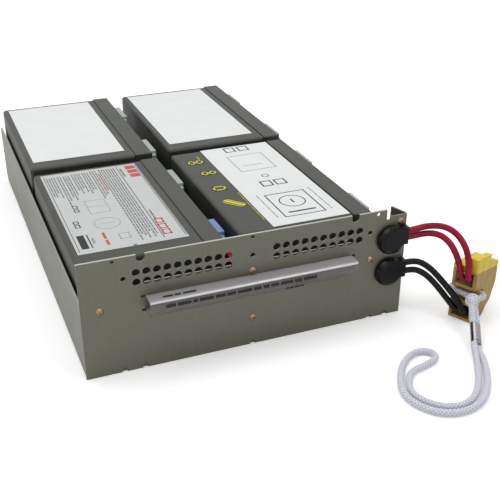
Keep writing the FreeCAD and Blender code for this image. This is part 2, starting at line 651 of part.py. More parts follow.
def make_battery(name, column, row):
    """Case, lid, vent plate and terminal tabs of one sealed battery lying on its side."""
    length, thick = "Sizes.battery_length", "Sizes.battery_thickness"
    step = "Sizes.rim_step"
    foot = f"{CASE_FOOT} - {step}"
    case = new_body(f"battery_case_{name}")
    block = rectangle(new_sketch(case, "YZ_Plane"), step, step, f"{length} - 2 * {step}",
                      f"{thick} - 2 * {step}")
    pad(case, block, "Sizes.case_width")
    dress(case, "Fillet", "Sizes.case_radius",
          lambda e: runs_along(e, X_AXIS) or passes(e, x=0))
    seat(case, column, row, foot)
    lid = new_body(f"battery_lid_{name}")
    seam = rectangle(new_sketch(lid, "YZ_Plane", "Sizes.case_width"), "Sizes.seam_depth",
                     "Sizes.seam_depth", f"{length} - 2 * Sizes.seam_depth",
                     f"{thick} - 2 * Sizes.seam_depth")
    pad(lid, seam, "Sizes.seam_width")
    slab = rectangle(new_sketch(lid, "YZ_Plane", "Sizes.case_width + Sizes.seam_width"),
                     "0", "0", length, thick)
    pad(lid, slab, "Sizes.lid_width - Sizes.seam_width")
    outer = size(CELL_WIDTH)
    inner = size("Sizes.case_width + Sizes.seam_width")
    dress(lid, "Fillet", "Sizes.lid_radius",
          lambda e: (runs_along(e, X_AXIS) and e.Length > size("Sizes.seam_width") * 2)
          or passes(e, x=outer))
    dress(lid, "Chamfer", "Sizes.seam_depth * 0.4",
          lambda e: passes(e, x=inner, z=0) or passes(e, x=inner, y=0))
    plate_length = f"({length} - 2 * Sizes.vent_plate_inset)"
    plate_foot = f"{thick} / 2 - Sizes.vent_plate_width / 2 - Sizes.vent_plate_drop"
    recess = rectangle(new_sketch(lid, "YZ_Plane", CELL_WIDTH),
                       "Sizes.vent_plate_inset - Sizes.vent_plate_fit",
                       f"{plate_foot} - Sizes.vent_plate_fit",
                       f"{plate_length} + 2 * Sizes.vent_plate_fit",
                       "Sizes.vent_plate_width + 2 * Sizes.vent_plate_fit")
    pocket(lid, recess, "Sizes.vent_plate_depth")
    roots = new_sketch(lid, "YZ_Plane", CELL_WIDTH)
    for tab_y in tab_places():
        rectangle(roots, f"{tab_y} - Sizes.tab_width / 2",
                  f"{thick} - Sizes.terminal_drop - Sizes.tab_thickness / 2",
                  "Sizes.tab_width", "Sizes.tab_thickness")
    pocket(lid, roots, "Sizes.tab_root")
    seat(lid, column, row, foot)
    plate = new_body(f"vent_plate_{name}")
    cover = rectangle(new_sketch(plate, "YZ_Plane", f"{CELL_WIDTH} - Sizes.vent_plate_depth"),
                      "Sizes.vent_plate_inset", plate_foot, plate_length,
                      "Sizes.vent_plate_width")
    pad(plate, cover, "Sizes.vent_plate_depth")
    dress(plate, "Fillet", "Sizes.vent_plate_radius", lambda e: runs_along(e, X_AXIS))
    seat(plate, column, row, foot)
    make_tabs(name, column, row, foot)


def tab_places():
    """Distances of the two terminal tabs from the battery's front end."""
    return ("Sizes.terminal_inset", "(Sizes.battery_length - Sizes.terminal_inset)")


def make_tabs(name, column, row, foot):
    """The two blade terminals of one battery, as one node of two equal blades."""
    blades = []
    for tab_y in tab_places():
        blade = Part.makeBox(size("Sizes.tab_root + Sizes.tab_rise"), size("Sizes.tab_width"),
                             size("Sizes.tab_thickness"))
        tip = [e for e in blade.Edges
               if runs_along(e, Z_AXIS) and e.CenterOfMass.x > size("Sizes.tab_rise")]
        blade = blade.makeChamfer(size("Sizes.tab_chamfer"), tip)
        middle = Vector(size("Sizes.tab_root + Sizes.tab_rise - Sizes.tab_eye_inset"),
                        size("Sizes.tab_width / 2"), 0)
        eye = Part.makeCylinder(size("Sizes.tab_eye / 2"), size("Sizes.tab_thickness"), middle)
        blade = blade.cut(eye)
        blade.translate(Vector(
            size(f"{column} + {CELL_WIDTH} - Sizes.tab_root - {HALF}"),
            size(f"{row} + {tab_y} - Sizes.tab_width / 2 + {FRONT}"),
            size(f"{foot} + Sizes.battery_thickness - Sizes.terminal_drop"
                 " - Sizes.tab_thickness / 2")))
        blades.append(blade)
    add_feature(f"terminal_tabs_{name}", Part.makeCompound(blades))


def make_boot(name, column, row, tab_y):
    """Insulating boot of one receptacle, slotted for the tab, its lead leaving forward."""
    body = new_body(f"terminal_boot_{name}")
    middle = "Sizes.battery_thickness - Sizes.terminal_drop"
    outer = f"{CELL_WIDTH} + Sizes.boot_depth"
    start = f"{tab_y} + Sizes.boot_lead - Sizes.boot_length"
    end = f"{tab_y} + Sizes.boot_lead"
    outline = polygon(new_sketch(body, "XY_Plane", f"{middle} - Sizes.boot_height / 2"), [
        (CELL_WIDTH, start), (f"{outer} - Sizes.tab_thickness", start),
        (outer, f"{start} + Sizes.boot_front_bevel"), (outer, f"{end} - Sizes.boot_rear_bevel"),
        (f"{outer} - Sizes.boot_rear_bevel", end), (CELL_WIDTH, end)])
    pad(body, outline, "Sizes.boot_height")
    dress(body, "Fillet", "Sizes.boot_radius",
          lambda e: runs_along(e, Y_AXIS) and passes(e, x=size(outer)))
    slot = rectangle(new_sketch(body, "YZ_Plane", CELL_WIDTH),
                     f"{tab_y} - Sizes.tab_width / 2 - Sizes.boot_slot_fit",
                     f"{middle} - Sizes.tab_thickness / 2 - Sizes.boot_slot_fit",
                     "Sizes.tab_width + 2 * Sizes.boot_slot_fit",
                     "Sizes.tab_thickness + 2 * Sizes.boot_slot_fit")
    pocket(body, slot, "Sizes.tab_rise + Sizes.boot_slot_fit", backward=True)
    seat(body, column, row, f"{CASE_FOOT} - Sizes.rim_step")


def make_pad(name, column, row):
    """Foam pad that holds one case on the tray's floor."""
    body = new_body(f"foam_pad_{name}")
    outline = rectangle(new_sketch(body, "XY_Plane", "Sizes.sheet"), "Sizes.pad_inset",
                        "Sizes.pad_inset", "Sizes.case_width - 2 * Sizes.pad_inset",
                        "Sizes.battery_length - 2 * Sizes.pad_inset")
    pad(body, outline, "Sizes.pad_thickness")
    seat(body, column, row)


def make_label(name, column, row, tall):
    """Printed label on the upper face of one case."""
    kind = "tall_label" if tall else "label"
    body = new_body(f"label_{name}")
    top = f"{CASE_FOOT} + Sizes.battery_thickness - 2 * Sizes.rim_step"
    left, front = f"Sizes.{kind}_left_margin", f"Sizes.{kind}_front_margin"
    outline = rectangle(new_sketch(body, "XY_Plane"), left, front,
                        f"Sizes.case_width - {left} - Sizes.{kind}_right_margin",
                        f"Sizes.battery_length - {front} - Sizes.{kind}_rear_margin")
    pad(body, outline, "Sizes.label_thickness")
    seat(body, column, row, top)


def make_strain_relief(name, level):
    """Right-angle strain relief: round head, side nozzle, neck and snap ring."""
    body = new_body(f"strain_relief_{name}")
    head, rise = "(Sizes.relief_head / 2)", "Sizes.relief_head_rise"
    neck = "(Sizes.relief_hole / 2 - Sizes.relief_fit)"
    snap, crown, rim = "(Sizes.relief_snap / 2)", "Sizes.relief_crown", "Sizes.relief_rim"
    tail = "Sizes.sheet + Sizes.relief_tail"
    section = polygon(new_sketch(body, "YZ_Plane"), [
        (f"-{rise}", "0"), (f"-{rise}", f"{head} - {crown}"),
        (f"-{rise} + {rim}", f"{head} - {rim}"), (f"-{rise} + {crown}", head),
        ("0", head), ("0", neck), ("Sizes.sheet", neck), ("Sizes.sheet", snap),
        (f"Sizes.sheet + {rim}", snap), (tail, f"{neck} - {rim}"), (tail, "0")])
    turned = body.newObject("PartDesign::Revolution", "Revolution")
    turned.Profile = section
    turned.ReferenceAxis = (section, ["H_Axis"])
    turned.Angle = 360
    doc.recompute()
    nozzle = rectangle(new_sketch(body, "YZ_Plane"), f"-{rise} / 2 - Sizes.nozzle_depth / 2",
                       f"Sizes.{name}_nozzle_lift - Sizes.nozzle_height / 2",
                       "Sizes.nozzle_depth", "Sizes.nozzle_height")
    pad(body, nozzle, "Sizes.nozzle_reach")
    seat(body, RELIEF_X, "0", level)


def rounded_path(points):
    """Wire of straight runs joined by tangent arcs, and the radii of the arcs."""
    edges, radii, start = [], [], points[0]
    for before, corner, after in zip(points, points[1:], points[2:]):
        arriving, leaving = (before - corner), (after - corner)
        run = min(arriving.Length, leaving.Length)
        arriving.normalize()
        leaving.normalize()
        half_turn = (math.pi - arriving.getAngle(leaving)) / 2
        reach = 0.45 * run
        radius = reach / math.tan(half_turn)
        radii.append(radius)
        first, last = corner + arriving * reach, corner + leaving * reach
        inward = (arriving + leaving).normalize()
        middle = corner + inward * (radius / math.cos(half_turn) - radius)
        edges.append(Part.LineSegment(start, first).toShape())
        edges.append(Part.Arc(first, middle, last).toShape())
        start = last
    edges.append(Part.LineSegment(start, points[-1]).toShape())
    return Part.Wire(edges), radii


def tube(points, diameter, report=None):
    """Plain round cord along a rounded path; prints its radii when it has a name."""
    path, radii = rounded_path(points)
    ring = Part.Wire(Part.makeCircle(diameter / 2, points[0], points[1] - points[0]))
    solid = path.makePipeShell([ring], True, False)
    expected = path.Length * math.pi * diameter ** 2 / 4
    if abs(solid.Volume - expected) > 0.01 * expected:
        raise RuntimeError(f"{report}: volume {solid.Volume:.0f}, expected {expected:.0f}")
    if report:
        tightest, widest = min(radii), max(radii)
        print(f"{report}: length {path.Length:.1f}, radii {tightest:.1f} to {widest:.1f}")
    return solid


def from_corner(point):
    """Place of a point that is measured from the panel's lower right front corner."""
    return Vector(size(f"{PANEL_WIDTH} - {HALF}"), size(FRONT), 0) + Vector(*point)


def boot_mouth(place, tab_y):
    """Place where the lead leaves the boot on a battery's tab."""
    column, row = PLACES[place]
    level = f"{CASE_FOOT} - Sizes.rim_step + Sizes.battery_thickness - Sizes.terminal_drop"
    return Vector(size(f"{column} + {CELL_WIDTH} + Sizes.boot_depth / 2 - {HALF}"),
                  size(f"{row} + {tab_y} + Sizes.boot_lead - Sizes.boot_length + {FRONT}"),
                  size(level))


def battery_corner(place, level):
    """Front of a battery's terminal side, in line with its boots, at a level."""
    row = PLACES[place][1]
    return Vector(boot_mouth(place, "0").x, size(f"{row} + {FRONT}"), size(level))


def relief_back(side, level):
    """Place where a lead enters the back of a strain relief; side is -1 or 1."""
    return Vector(size(f"{RELIEF_X} - {HALF}") + side * size("Sizes.lead_spread / 2"),
                  size(f"Sizes.sheet + Sizes.relief_tail + {FRONT}"), size(level))


def chain(*stretches):
    """Route in stretches, each a list of offsets from its own anchor."""
    return [anchor + Vector(*offset) for anchor, offsets in stretches for offset in offsets]


def make_leads():
    """Leads from the batteries to the strain reliefs, and the jumpers between the rows."""
    front_tab, rear_tab = tab_places()
    upper, lower = "Sizes.relief_upper", "Sizes.relief_lower"
    left_corner = battery_corner("front_left", lower)
    right_corner = battery_corner("front_right", lower)
    routes = {
        "lead_red_left": chain((boot_mouth("front_left", front_tab), RED_DOWN),
                               (relief_back(-1, upper), RED_TO_RELIEF)),
        "lead_red_right": chain((boot_mouth("front_right", front_tab), RED_OUT),
                                (relief_back(1, upper), RED_STRAIGHT_IN)),
        "lead_black_left": chain((boot_mouth("rear_left", rear_tab), LEAD_DOWN),
                                 (left_corner, LEAD_ALONG + BLACK_ROUND_CORNER),
                                 (relief_back(-1, lower), BLACK_TO_RELIEF)),
        "lead_black_right": chain((boot_mouth("rear_right", rear_tab), LEAD_DOWN),
                                  (right_corner, LEAD_ALONG),
                                  (relief_back(1, lower), BLACK_STRAIGHT_IN)),
    }
    for side in ("left", "right"):
        routes[f"jumper_{side}"] = chain(
            (boot_mouth(f"rear_{side}", front_tab), JUMPER_DOWN),
            (boot_mouth(f"front_{side}", rear_tab), JUMPER_BACK))
    for label, points in routes.items():
        add_feature(label, tube(points, size("Sizes.wire_diameter"), label))


def make_wires():
    """The four free wires between the strain reliefs and the connector."""
    routes = {
        "wire_red_upper": RED_UPPER, "wire_red_lower": RED_LOWER,
        "wire_black_upper": BLACK_UPPER, "wire_black_lower": BLACK_LOWER,
    }
    for label, offsets in routes.items():
        points = [from_corner(offset) for offset in offsets]
        add_feature(label, tube(points, size("Sizes.wire_diameter"), label))


def plug_placement():
    """Placement of the connector, standing on its corner and turned to face its wires."""
    return Placement(from_corner(PLUG_CORNER), Rotation(Z_AXIS, PLUG_TURN))


def make_connector():
    """Two-pole connector: housing with sockets, waist and cord eye; key cap; contacts."""
    housing = new_body("connector_housing")
    outline = polygon(new_sketch(housing, "XZ_Plane"), plain(HOUSING_OUTLINE))
    pad(housing, outline, "Sizes.plug_thickness", backward=True)
    dress(housing, "Fillet", "Sizes.plug_radius",
          lambda e: runs_along(e, Y_AXIS) and not passes(e, x=0))
    hollow_width = "Sizes.plug_thickness - 2 * Sizes.plug_wall"
    for foot, rise in (("Sizes.upper_socket_foot", "Sizes.upper_socket_rise"),
                       ("Sizes.lower_socket_foot", "Sizes.lower_socket_rise")):
        mouth = rectangle(new_sketch(housing, "YZ_Plane"), "Sizes.plug_wall", foot,
                          hollow_width, rise)
        pocket(housing, mouth, "Sizes.socket_depth", backward=True)
    waist = rectangle(new_sketch(housing, "XZ_Plane"), "-Sizes.cut_over", "Sizes.waist_foot",
                      "Sizes.waist_depth + Sizes.cut_over", "Sizes.waist_rise")
    pocket(housing, waist)
    eye = circle(new_sketch(housing, "XZ_Plane"), "Sizes.cord_eye_reach",
                 "Sizes.cord_eye_level", "Sizes.cord_eye_diameter")
    pocket(housing, eye)
    for floor, foot in (("Sizes.upper_mating_floor", "Sizes.upper_mating_foot"),
                        ("Sizes.lower_mating_floor", "Sizes.lower_mating_foot")):
        mouth = rectangle(new_sketch(housing, "YZ_Plane", floor), "Sizes.plug_wall", foot,
                          hollow_width, "Sizes.mating_rise")
        pocket(housing, mouth, "Sizes.mating_depth", backward=True)
        channel = tongue_outline(housing, foot)
        pocket(housing, channel, f"{floor} - Sizes.socket_depth + Sizes.channel_over",
               backward=True)
    housing.Placement = plug_placement()
    cap = new_body("connector_key_cap")
    base = polygon(new_sketch(cap, "XZ_Plane"), plain(CAP_OUTLINE))
    pad(cap, base, "Sizes.plug_thickness", backward=True)
    key = polygon(new_sketch(cap, "XZ_Plane"), plain(KEY_OUTLINE))
    pad(cap, key, "Sizes.key_thickness", backward=True)
    cap.Placement = plug_placement()
    for name, foot, tip, socket, rise in (
            ("upper", "Sizes.upper_mating_foot", "Sizes.upper_tongue_end",
             "Sizes.upper_socket_foot", "Sizes.upper_socket_rise"),
            ("lower", "Sizes.lower_mating_foot", "Sizes.lower_tongue_end",
             "Sizes.lower_socket_foot", "Sizes.lower_socket_rise")):
        contact = new_body(f"contact_{name}")
        crimp = rectangle(new_sketch(contact, "YZ_Plane", "Sizes.crimp_start"),
                          "Sizes.plug_wall + Sizes.crimp_fit",
                          f"{socket} + {rise} / 2 - Sizes.crimp_rise / 2",
                          f"{hollow_width} - 2 * Sizes.crimp_fit", "Sizes.crimp_rise")
        pad(contact, crimp, "Sizes.socket_depth - Sizes.crimp_start")
        pad(contact, tongue_outline(contact, foot), f"{tip} - Sizes.socket_depth")
        contact.Placement = plug_placement()


def tongue_outline(body, foot):
    """Section of the contact's tongue, which lies on the lower wall of its mating hollow."""
    return rectangle(new_sketch(body, "YZ_Plane", "Sizes.socket_depth"),
                     "Sizes.plug_thickness / 2 - Sizes.tongue_width / 2", foot,
                     "Sizes.tongue_width", "Sizes.tongue_thickness")


def ferrule_frame():
    """Top and end of the ferrule, its heading, and half the way between its two strands."""
    top, end = from_corner(FERRULE_TOP), from_corner(FERRULE_END)
    heading = (end - top).normalize()
    up = (Z_AXIS - heading * Z_AXIS.dot(heading)).normalize()
    tilt = math.radians(size("Sizes.strand_tilt"))
    half = size("Sizes.strand_spread / 2")
    lift = up * (half * math.cos(tilt)) + heading.cross(up) * (half * math.sin(tilt))
    return top, end, heading, lift


def make_cord_hitch():
    """Cord through the connector's eye and round its waist, its knot and doubled tail."""
    diameter = size("Sizes.cord_diameter")
    level, eye = size("Sizes.cord_eye_level"), size("Sizes.cord_eye_reach")
    stand_off = diameter / 2 + size("Sizes.hitch_clearance")
    front, side = size("Sizes.hitch_front"), -stand_off
    far = size("Sizes.plug_thickness") + stand_off
    bend = size("Sizes.hitch_bend")
    corners = [Vector(x, y, level)
               for x, y in ((front, side), (eye, side), (eye, far), (front, far))]
    edges = []
    for i, corner in enumerate(corners):
        following = corners[(i + 1) % 4]
        back = (corners[i - 1] - corner).normalize()
        ahead = (following - corner).normalize()
        first, last = corner + back * bend, corner + ahead * bend
        middle = corner + (back + ahead).normalize() * (bend * (math.sqrt(2) - 1))
        edges.append(Part.Arc(first, middle, last).toShape())
        edges.append(Part.LineSegment(last, following - ahead * bend).toShape())
    ring = Part.Wire(Part.makeCircle(diameter / 2, edges[1].Vertexes[0].Point, X_AXIS))
    loop = Part.Wire(edges[1:] + edges[:1]).makePipeShell([ring], True, False)
    loop.Placement = plug_placement()
    knot_centre = from_corner(KNOT_CENTRE)
    solid = loop.fuse(Part.makeSphere(size("Sizes.knot_radius"), knot_centre))
    top, _, heading, lift = ferrule_frame()
    for strand_lift in (lift, -lift):
        end = top + strand_lift
        entry = end - heading * size("Sizes.ferrule_entry")
        route = [knot_centre + strand_lift * size("Sizes.knot_pinch"), entry, end]
        solid = solid.fuse(tube(route, diameter))
    add_feature("cord_hitch", solid.removeSplitter())


def stadium(centre, lift, across, radius):
    """Face round two strands: two straights along `lift` and a half circle over each."""
    over, beside = lift.normalize() * radius, across * radius
    corners = [centre + lift + beside, centre - lift + beside,
               centre - lift - beside, centre + lift - beside]
    return Part.Face(Part.Wire([
        Part.LineSegment(corners[0], corners[1]).toShape(),
        Part.Arc(corners[1], centre - lift - over, corners[2]).toShape(),
        Part.LineSegment(corners[2], corners[3]).toShape(),
        Part.Arc(corners[3], centre + lift + over, corners[0]).toShape()]))


def make_ferrule():
    """Oval sleeve pressed round the doubled cord, grooved near its lower end."""
    top, end, heading, lift = ferrule_frame()
    across = heading.cross(lift).normalize()
    groove = size("Sizes.ferrule_groove")
    radius = size("Sizes.cord_diameter / 2 + Sizes.ferrule_wall")
    sleeve = stadium(top, lift, across, radius).extrude(end - top)
    start = top + (end - top) * size("Sizes.ferrule_groove_place")
    outer = stadium(start, lift, across, radius + groove).extrude(heading * groove * 2)
    core = stadium(start, lift, across, radius - groove).extrude(heading * groove * 2)
    add_feature("cord_ferrule", sleeve.cut(outer.cut(core)))


def make_pull_cord():
    """Loop of the pull cord, both strands held in the ferrule, lying on the floor."""
    diameter = size("Sizes.cord_diameter")
    _, end, heading, lift = ferrule_frame()
    rest = diameter / 2 + size("Sizes.floor_clearance")
    start, finish = end - lift, end + lift
    points = [start, start + heading * ((rest - start.z) / heading.z)]
    points += [from_corner((x, y, rest)) for x, y in LOOP_ON_FLOOR]
    points += [from_corner(offset) for offset in LOOP_RISE]
    points += [finish + heading * size("Sizes.ferrule_exit"), finish]
    add_feature("pull_cord", tube(points, diameter, "pull_cord"))


def main():
    """Build every piece, check it and write its STEP file."""
    make_tray()
    make_front_panel()
    make_pull_strip()
    make_rivets()
    for name, (column, row) in PLACES.items():
        make_battery(name, column, row)
        make_pad(name, column, row)
        make_label(name, column, row, tall=(name == "front_right"))
        for end, tab_y in zip(("front", "rear"), tab_places()):
            make_boot(f"{name}_{end}", column, row, tab_y)
    make_strain_relief("upper", "Sizes.relief_upper")
    make_strain_relief("lower", "Sizes.relief_lower")
    make_leads()
    make_wires()
    make_connector()
    make_cord_hitch()
    make_ferrule()
    make_pull_cord()
    doc.recompute()
    for item in doc.Objects:
        if "Invalid" in item.State or "Error" in item.State:
            raise RuntimeError(f"{item.Name} ({item.Label}) failed: {item.State}")
    for part in parts:
        if part.Shape.isNull() or not part.Shape.isValid():
            raise RuntimeError(f"{part.Label} has no valid shape")
    os.makedirs("parts", exist_ok=True)
    for part in parts:
        part.Shape.exportStep(f"parts/{part.Label}.step")
    print(f"{len(parts)} parts written")


main()
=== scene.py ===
"""Looks of the UPS battery cartridge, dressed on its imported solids.

Metres, +Z up, -Y towards the person who pulls the cartridge out. The places of labels, boots,
panel and pull strip are read from the frame. The frame holds no routes, so those of the wires
and the cord repeat the part's source, as do the places of plug, knot and ferrule and the level
of the pull strip's top. Print, braid and boot hoods have no form in the source; their sizes
are this script's own.
"""

import json
import math

import bmesh
import bpy
from mathutils import Matrix, Vector


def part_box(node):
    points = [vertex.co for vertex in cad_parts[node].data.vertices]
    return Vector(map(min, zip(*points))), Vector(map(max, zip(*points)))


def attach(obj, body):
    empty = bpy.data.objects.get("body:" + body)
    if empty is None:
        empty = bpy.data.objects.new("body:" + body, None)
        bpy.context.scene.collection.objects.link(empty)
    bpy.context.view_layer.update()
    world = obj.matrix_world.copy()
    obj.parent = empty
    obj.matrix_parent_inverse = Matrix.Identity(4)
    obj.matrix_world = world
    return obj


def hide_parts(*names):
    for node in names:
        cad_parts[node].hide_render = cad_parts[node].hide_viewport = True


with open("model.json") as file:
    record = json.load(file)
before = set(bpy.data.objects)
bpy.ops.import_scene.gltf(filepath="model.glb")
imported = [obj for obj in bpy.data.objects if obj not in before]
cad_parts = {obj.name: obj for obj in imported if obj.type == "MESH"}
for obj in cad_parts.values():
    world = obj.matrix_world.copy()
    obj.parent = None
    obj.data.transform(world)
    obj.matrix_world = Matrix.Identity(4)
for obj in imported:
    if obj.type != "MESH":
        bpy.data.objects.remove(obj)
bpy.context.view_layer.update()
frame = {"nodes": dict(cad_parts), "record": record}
SLOTS = {part["node"]: part["material_slot"] for part in frame["record"]["subparts"]}
MM = 0.001

PANEL_LOW, PANEL_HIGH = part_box("front_panel")
TRAY_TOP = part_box("tray")[1].z
# The free wires and the cord are laid out from the panel's lower right front corner.
CORNER = Vector((PANEL_HIGH.x, PANEL_LOW.y, 0))

# ---------------------------------------------------------------- sizes of wires and cord

WIRE_DIAMETER = 4.2 * MM
CORD_DIAMETER = 4.4 * MM
PLUG_CORNER = (36.0, -32.4, 0.0)
PLUG_TURN = math.radians(26.565)
PLUG_THICKNESS = 17.0 * MM
# The cord goes through the plug's eye and comes back round its waist.
CORD_EYE_REACH = 10.0 * MM
CORD_EYE_LEVEL = 19.0 * MM
HITCH_CLEARANCE = 0.7 * MM
HITCH_FRONT = 2.6 * MM
HITCH_BEND = 3.2 * MM
HITCH_BEND_STEPS = 8
KNOT_CENTRE = (33.1, -35.2, 20.3)
KNOT_RADIUS = 5.0 * MM
# Share of the strands' spread that is left where they enter the knot.
KNOT_PINCH = 0.55
# The knot's line goes round its ball, and swings up and down by an angle as it goes.
KNOT_ROUNDS = 2
KNOT_SWINGS = 3
KNOT_SWING_ANGLE = 0.9
KNOT_POINTS = 160
STRAND_SPREAD = 4.7 * MM
STRAND_TILT = math.radians(42)
FERRULE_ENTRY = 5.0 * MM
FERRULE_EXIT = 3.4 * MM
FLOOR_GAP = 0.05 * MM

# The braid on cord, hitch and knot.
BRAID_CARRIERS = 10
BRAID_PITCH = 11 * MM
BRAID_DEPTH = 0.4 * MM
BRAID_POINTS_AROUND = 48
BRAID_STEP = 0.32 * MM
# A smaller power makes flatter strands.
STRAND_FLATNESS = 0.6
# Height that a strand keeps where it dives under the other family.
STRAND_DIP = 0.55

# Routes, in millimetres from CORNER.
WIRE_ROUTES = {
    "wire_red_upper": [
        (-1.0, -2.7, 62.8), (4.6, -2.7, 62.8), (11.3, -3.2, 63.8), (17.9, -5.4, 64.4),
        (24.1, -9.6, 64.1), (28.5, -15.4, 61.4), (30.7, -21.6, 56.6), (31.5, -26.6, 50.2),
        (31.3, -29.7, 41.4), (31.26, -29.63, 31.25), (39.31, -25.6, 31.25)],
    "wire_red_lower": [
        (-1.0, -2.7, 58.1), (4.4, -2.7, 58.1), (10.5, -3.2, 58.7), (16.5, -5.6, 59.2),
        (21.6, -9.8, 58.2), (24.9, -15.0, 54.6), (26.7, -20.0, 49.2), (28.0, -23.8, 41.8),
        (29.25, -25.6, 31.25), (37.3, -21.58, 31.25)],
    "wire_black_upper": [
        (-1.0, -2.7, 39.2), (4.6, -2.7, 39.2), (11.0, -3.6, 37.8), (16.8, -7.2, 33.8),
        (21.2, -13.0, 28.2), (25.2, -19.8, 21.8), (29.2, -26.2, 14.8), (31.26, -29.63, 7.0),
        (39.31, -25.6, 7.0)],
    "wire_black_lower": [
        (-1.0, -2.7, 33.0), (4.4, -2.7, 33.0), (10.2, -3.8, 31.6), (15.5, -7.8, 28.0),
        (19.7, -13.6, 22.4), (23.6, -19.4, 15.8), (29.25, -25.6, 7.0), (37.3, -21.58, 7.0)],
}
FERRULE_TOP = (27.6, -48.0, 10.0)
FERRULE_END = (19.8, -61.5, 5.0)
LOOP_ON_FLOOR = [
    (18.1, -71.6), (14.9, -78.4), (10.8, -86.0), (5.9, -93.6), (0.2, -101.0), (-6.2, -107.2),
    (-13.9, -111.5), (-22.5, -113.2), (-31.1, -112.0), (-38.7, -107.8), (-44.1, -100.8),
    (-47.2, -92.4), (-47.1, -83.6), (-43.3, -75.0), (-38.3, -67.0), (-32.3, -59.6),
    (-25.3, -53.8), (-18.1, -50.8), (-12.1, -51.8), (-8.1, -55.4), (-8.7, -60.2),
    (-13.5, -63.6), (-21.1, -65.9), (-29.1, -67.3), (-34.7, -71.2), (-38.9, -77.6),
    (-42.1, -84.6), (-41.5, -92.4), (-37.9, -99.8), (-31.9, -105.4), (-23.9, -108.0),
    (-15.9, -106.6), (-9.1, -102.6), (-3.1, -96.8), (2.1, -90.0), (6.7, -82.8), (10.9, -75.6)]
LOOP_RISE = [(14.1, -69.6, 3.6)]


# ---------------------------------------------------------------- materials

# Height of the band under each sheet's top that takes a painted highlight.
EDGE_HIGHLIGHT_BAND = 0.25 * MM
# Colour of the painted highlight along the sheets' top edges.
EDGE_HIGHLIGHT_COLOUR = (0.46, 0.46, 0.41)
# Share of the cloudy marks in the sheets' colour; the rest is drawn grain.
CLOUDS_IN_MARKS = 0.62
# Colours of the pull strip's film by the way its faces look: painted shade on upright faces, a
# painted highlight on the bend and a painted sheen on the top.
FILM_UPRIGHT_SHADE = (0.225, 0.205, 0.185)
FILM_BEND_HIGHLIGHT = (0.80, 0.79, 0.80)
FILM_TOP_SHEEN = (0.40, 0.385, 0.40)
# Painted shade of the braid by the height of its relief: darkest in the grooves, lighter on the
# strands' flanks, plain fibre colour on their crowns.
GROOVE_SHADOW = (0.34, 0.33, 0.42)
STRAND_FLANK_SHADE = (0.80, 0.80, 0.86)
# The point attribute that holds the height of a braid's surface, 0 to 1.
RELIEF = "relief"
# The Mix node's two inputs and its output, by the kind of value that it mixes.
MIX_SOCKETS = {"FLOAT": (2, 3, 0), "RGBA": (6, 7, 2)}


def shader_of(material):
    """The material's principled shader."""
    return material.node_tree.nodes["Principled BSDF"]


def shade(name, colour, roughness, metallic=0.0, **constants):
    """Principled material with its constants on the shader's own sockets."""
    material = bpy.data.materials.new(name)
    material.use_nodes = True
    shader = shader_of(material)
    shader.inputs["Base Color"].default_value = (*colour, 1)
    shader.inputs["Roughness"].default_value = roughness
    shader.inputs["Metallic"].default_value = metallic
    for socket, value in constants.items():
        shader.inputs[socket.replace("_", " ")].default_value = value
    return material


def node(owner, kind, **settings):
    """New node of a material or world; settings name its properties or else its inputs."""
    made = owner.node_tree.nodes.new(kind)
    for key, value in settings.items():
        if hasattr(made, key):
            setattr(made, key, value)
        else:
            made.inputs[key.replace("_", " ")].default_value = value
    return made


def join(owner, start, end):
    """Link two sockets of a material or world."""
    owner.node_tree.links.new(start, end)


def grain(material, scale, stretch=(1, 1, 1), detail=4.0, roughness=0.6):
    """Noise in the object's own coordinates, drawn out along an axis by a small stretch."""
    place = node(material, "ShaderNodeTexCoord")
    mapping = node(material, "ShaderNodeMapping", Scale=stretch)
    join(material, place.outputs["Object"], mapping.inputs["Vector"])
    noise = node(material, "ShaderNodeTexNoise", Scale=scale, Detail=detail,
                 Roughness=roughness)
    join(material, mapping.outputs["Vector"], noise.inputs["Vector"])
    return noise.outputs["Fac"]


def height_of(material, output):
    """Z of the object's coordinates (`Object`) or of its surface's direction (`Normal`)."""
    place = node(material, "ShaderNodeTexCoord")
    axes = node(material, "ShaderNodeSeparateXYZ")
    join(material, place.outputs[output], axes.inputs[0])
    return axes.outputs["Z"]


def ramp(material, factor, stops):
    """Colour ramp over a factor; stops are (position, grey or colour)."""
    made = node(material, "ShaderNodeValToRGB")
    elements = made.color_ramp.elements
    while len(elements) < len(stops):
        elements.new(0.5)
    for element, (position, value) in zip(elements, stops):
        colour = (value,) * 3 if isinstance(value, (int, float)) else value
        element.position = position
        element.color = (*colour, 1)
    join(material, factor, made.inputs["Fac"])
    return made.outputs["Color"]


def mixed(material, kind, factor, first, second, **settings):
    """Mix of two values or two colours; numbers and colours are set, sockets are linked."""
    made = node(material, "ShaderNodeMix", data_type=kind, **settings)
    first_input, second_input, output = MIX_SOCKETS[kind]
    for index, value in ((0, factor), (first_input, first), (second_input, second)):
        if isinstance(value, bpy.types.NodeSocket):
            join(material, value, made.inputs[index])
        else:
            made.inputs[index].default_value = value
    return made.outputs[output]


def choose(owner, factor, without, chosen):
    """The first shader where the factor is 0, and the second where it is 1."""
    made = node(owner, "ShaderNodeMixShader")
    for index, socket in enumerate((factor, without, chosen)):
        join(owner, socket, made.inputs[index])
    return made.outputs[0]


def drift(material, noise, low, high, start=0.3, end=0.7):
    """Greys or colours between two, over the part of a noise's range that it mostly fills."""
    return ramp(material, noise, [(start, low), (end, high)])


def colour_from(material, colour):
    """Link a colour to the shader."""
    join(material, colour, shader_of(material).inputs["Base Color"])


def roughness_by(material, noise, low, high):
    """Roughness that drifts between two values with a noise."""
    join(material, drift(material, noise, low, high), shader_of(material).inputs["Roughness"])


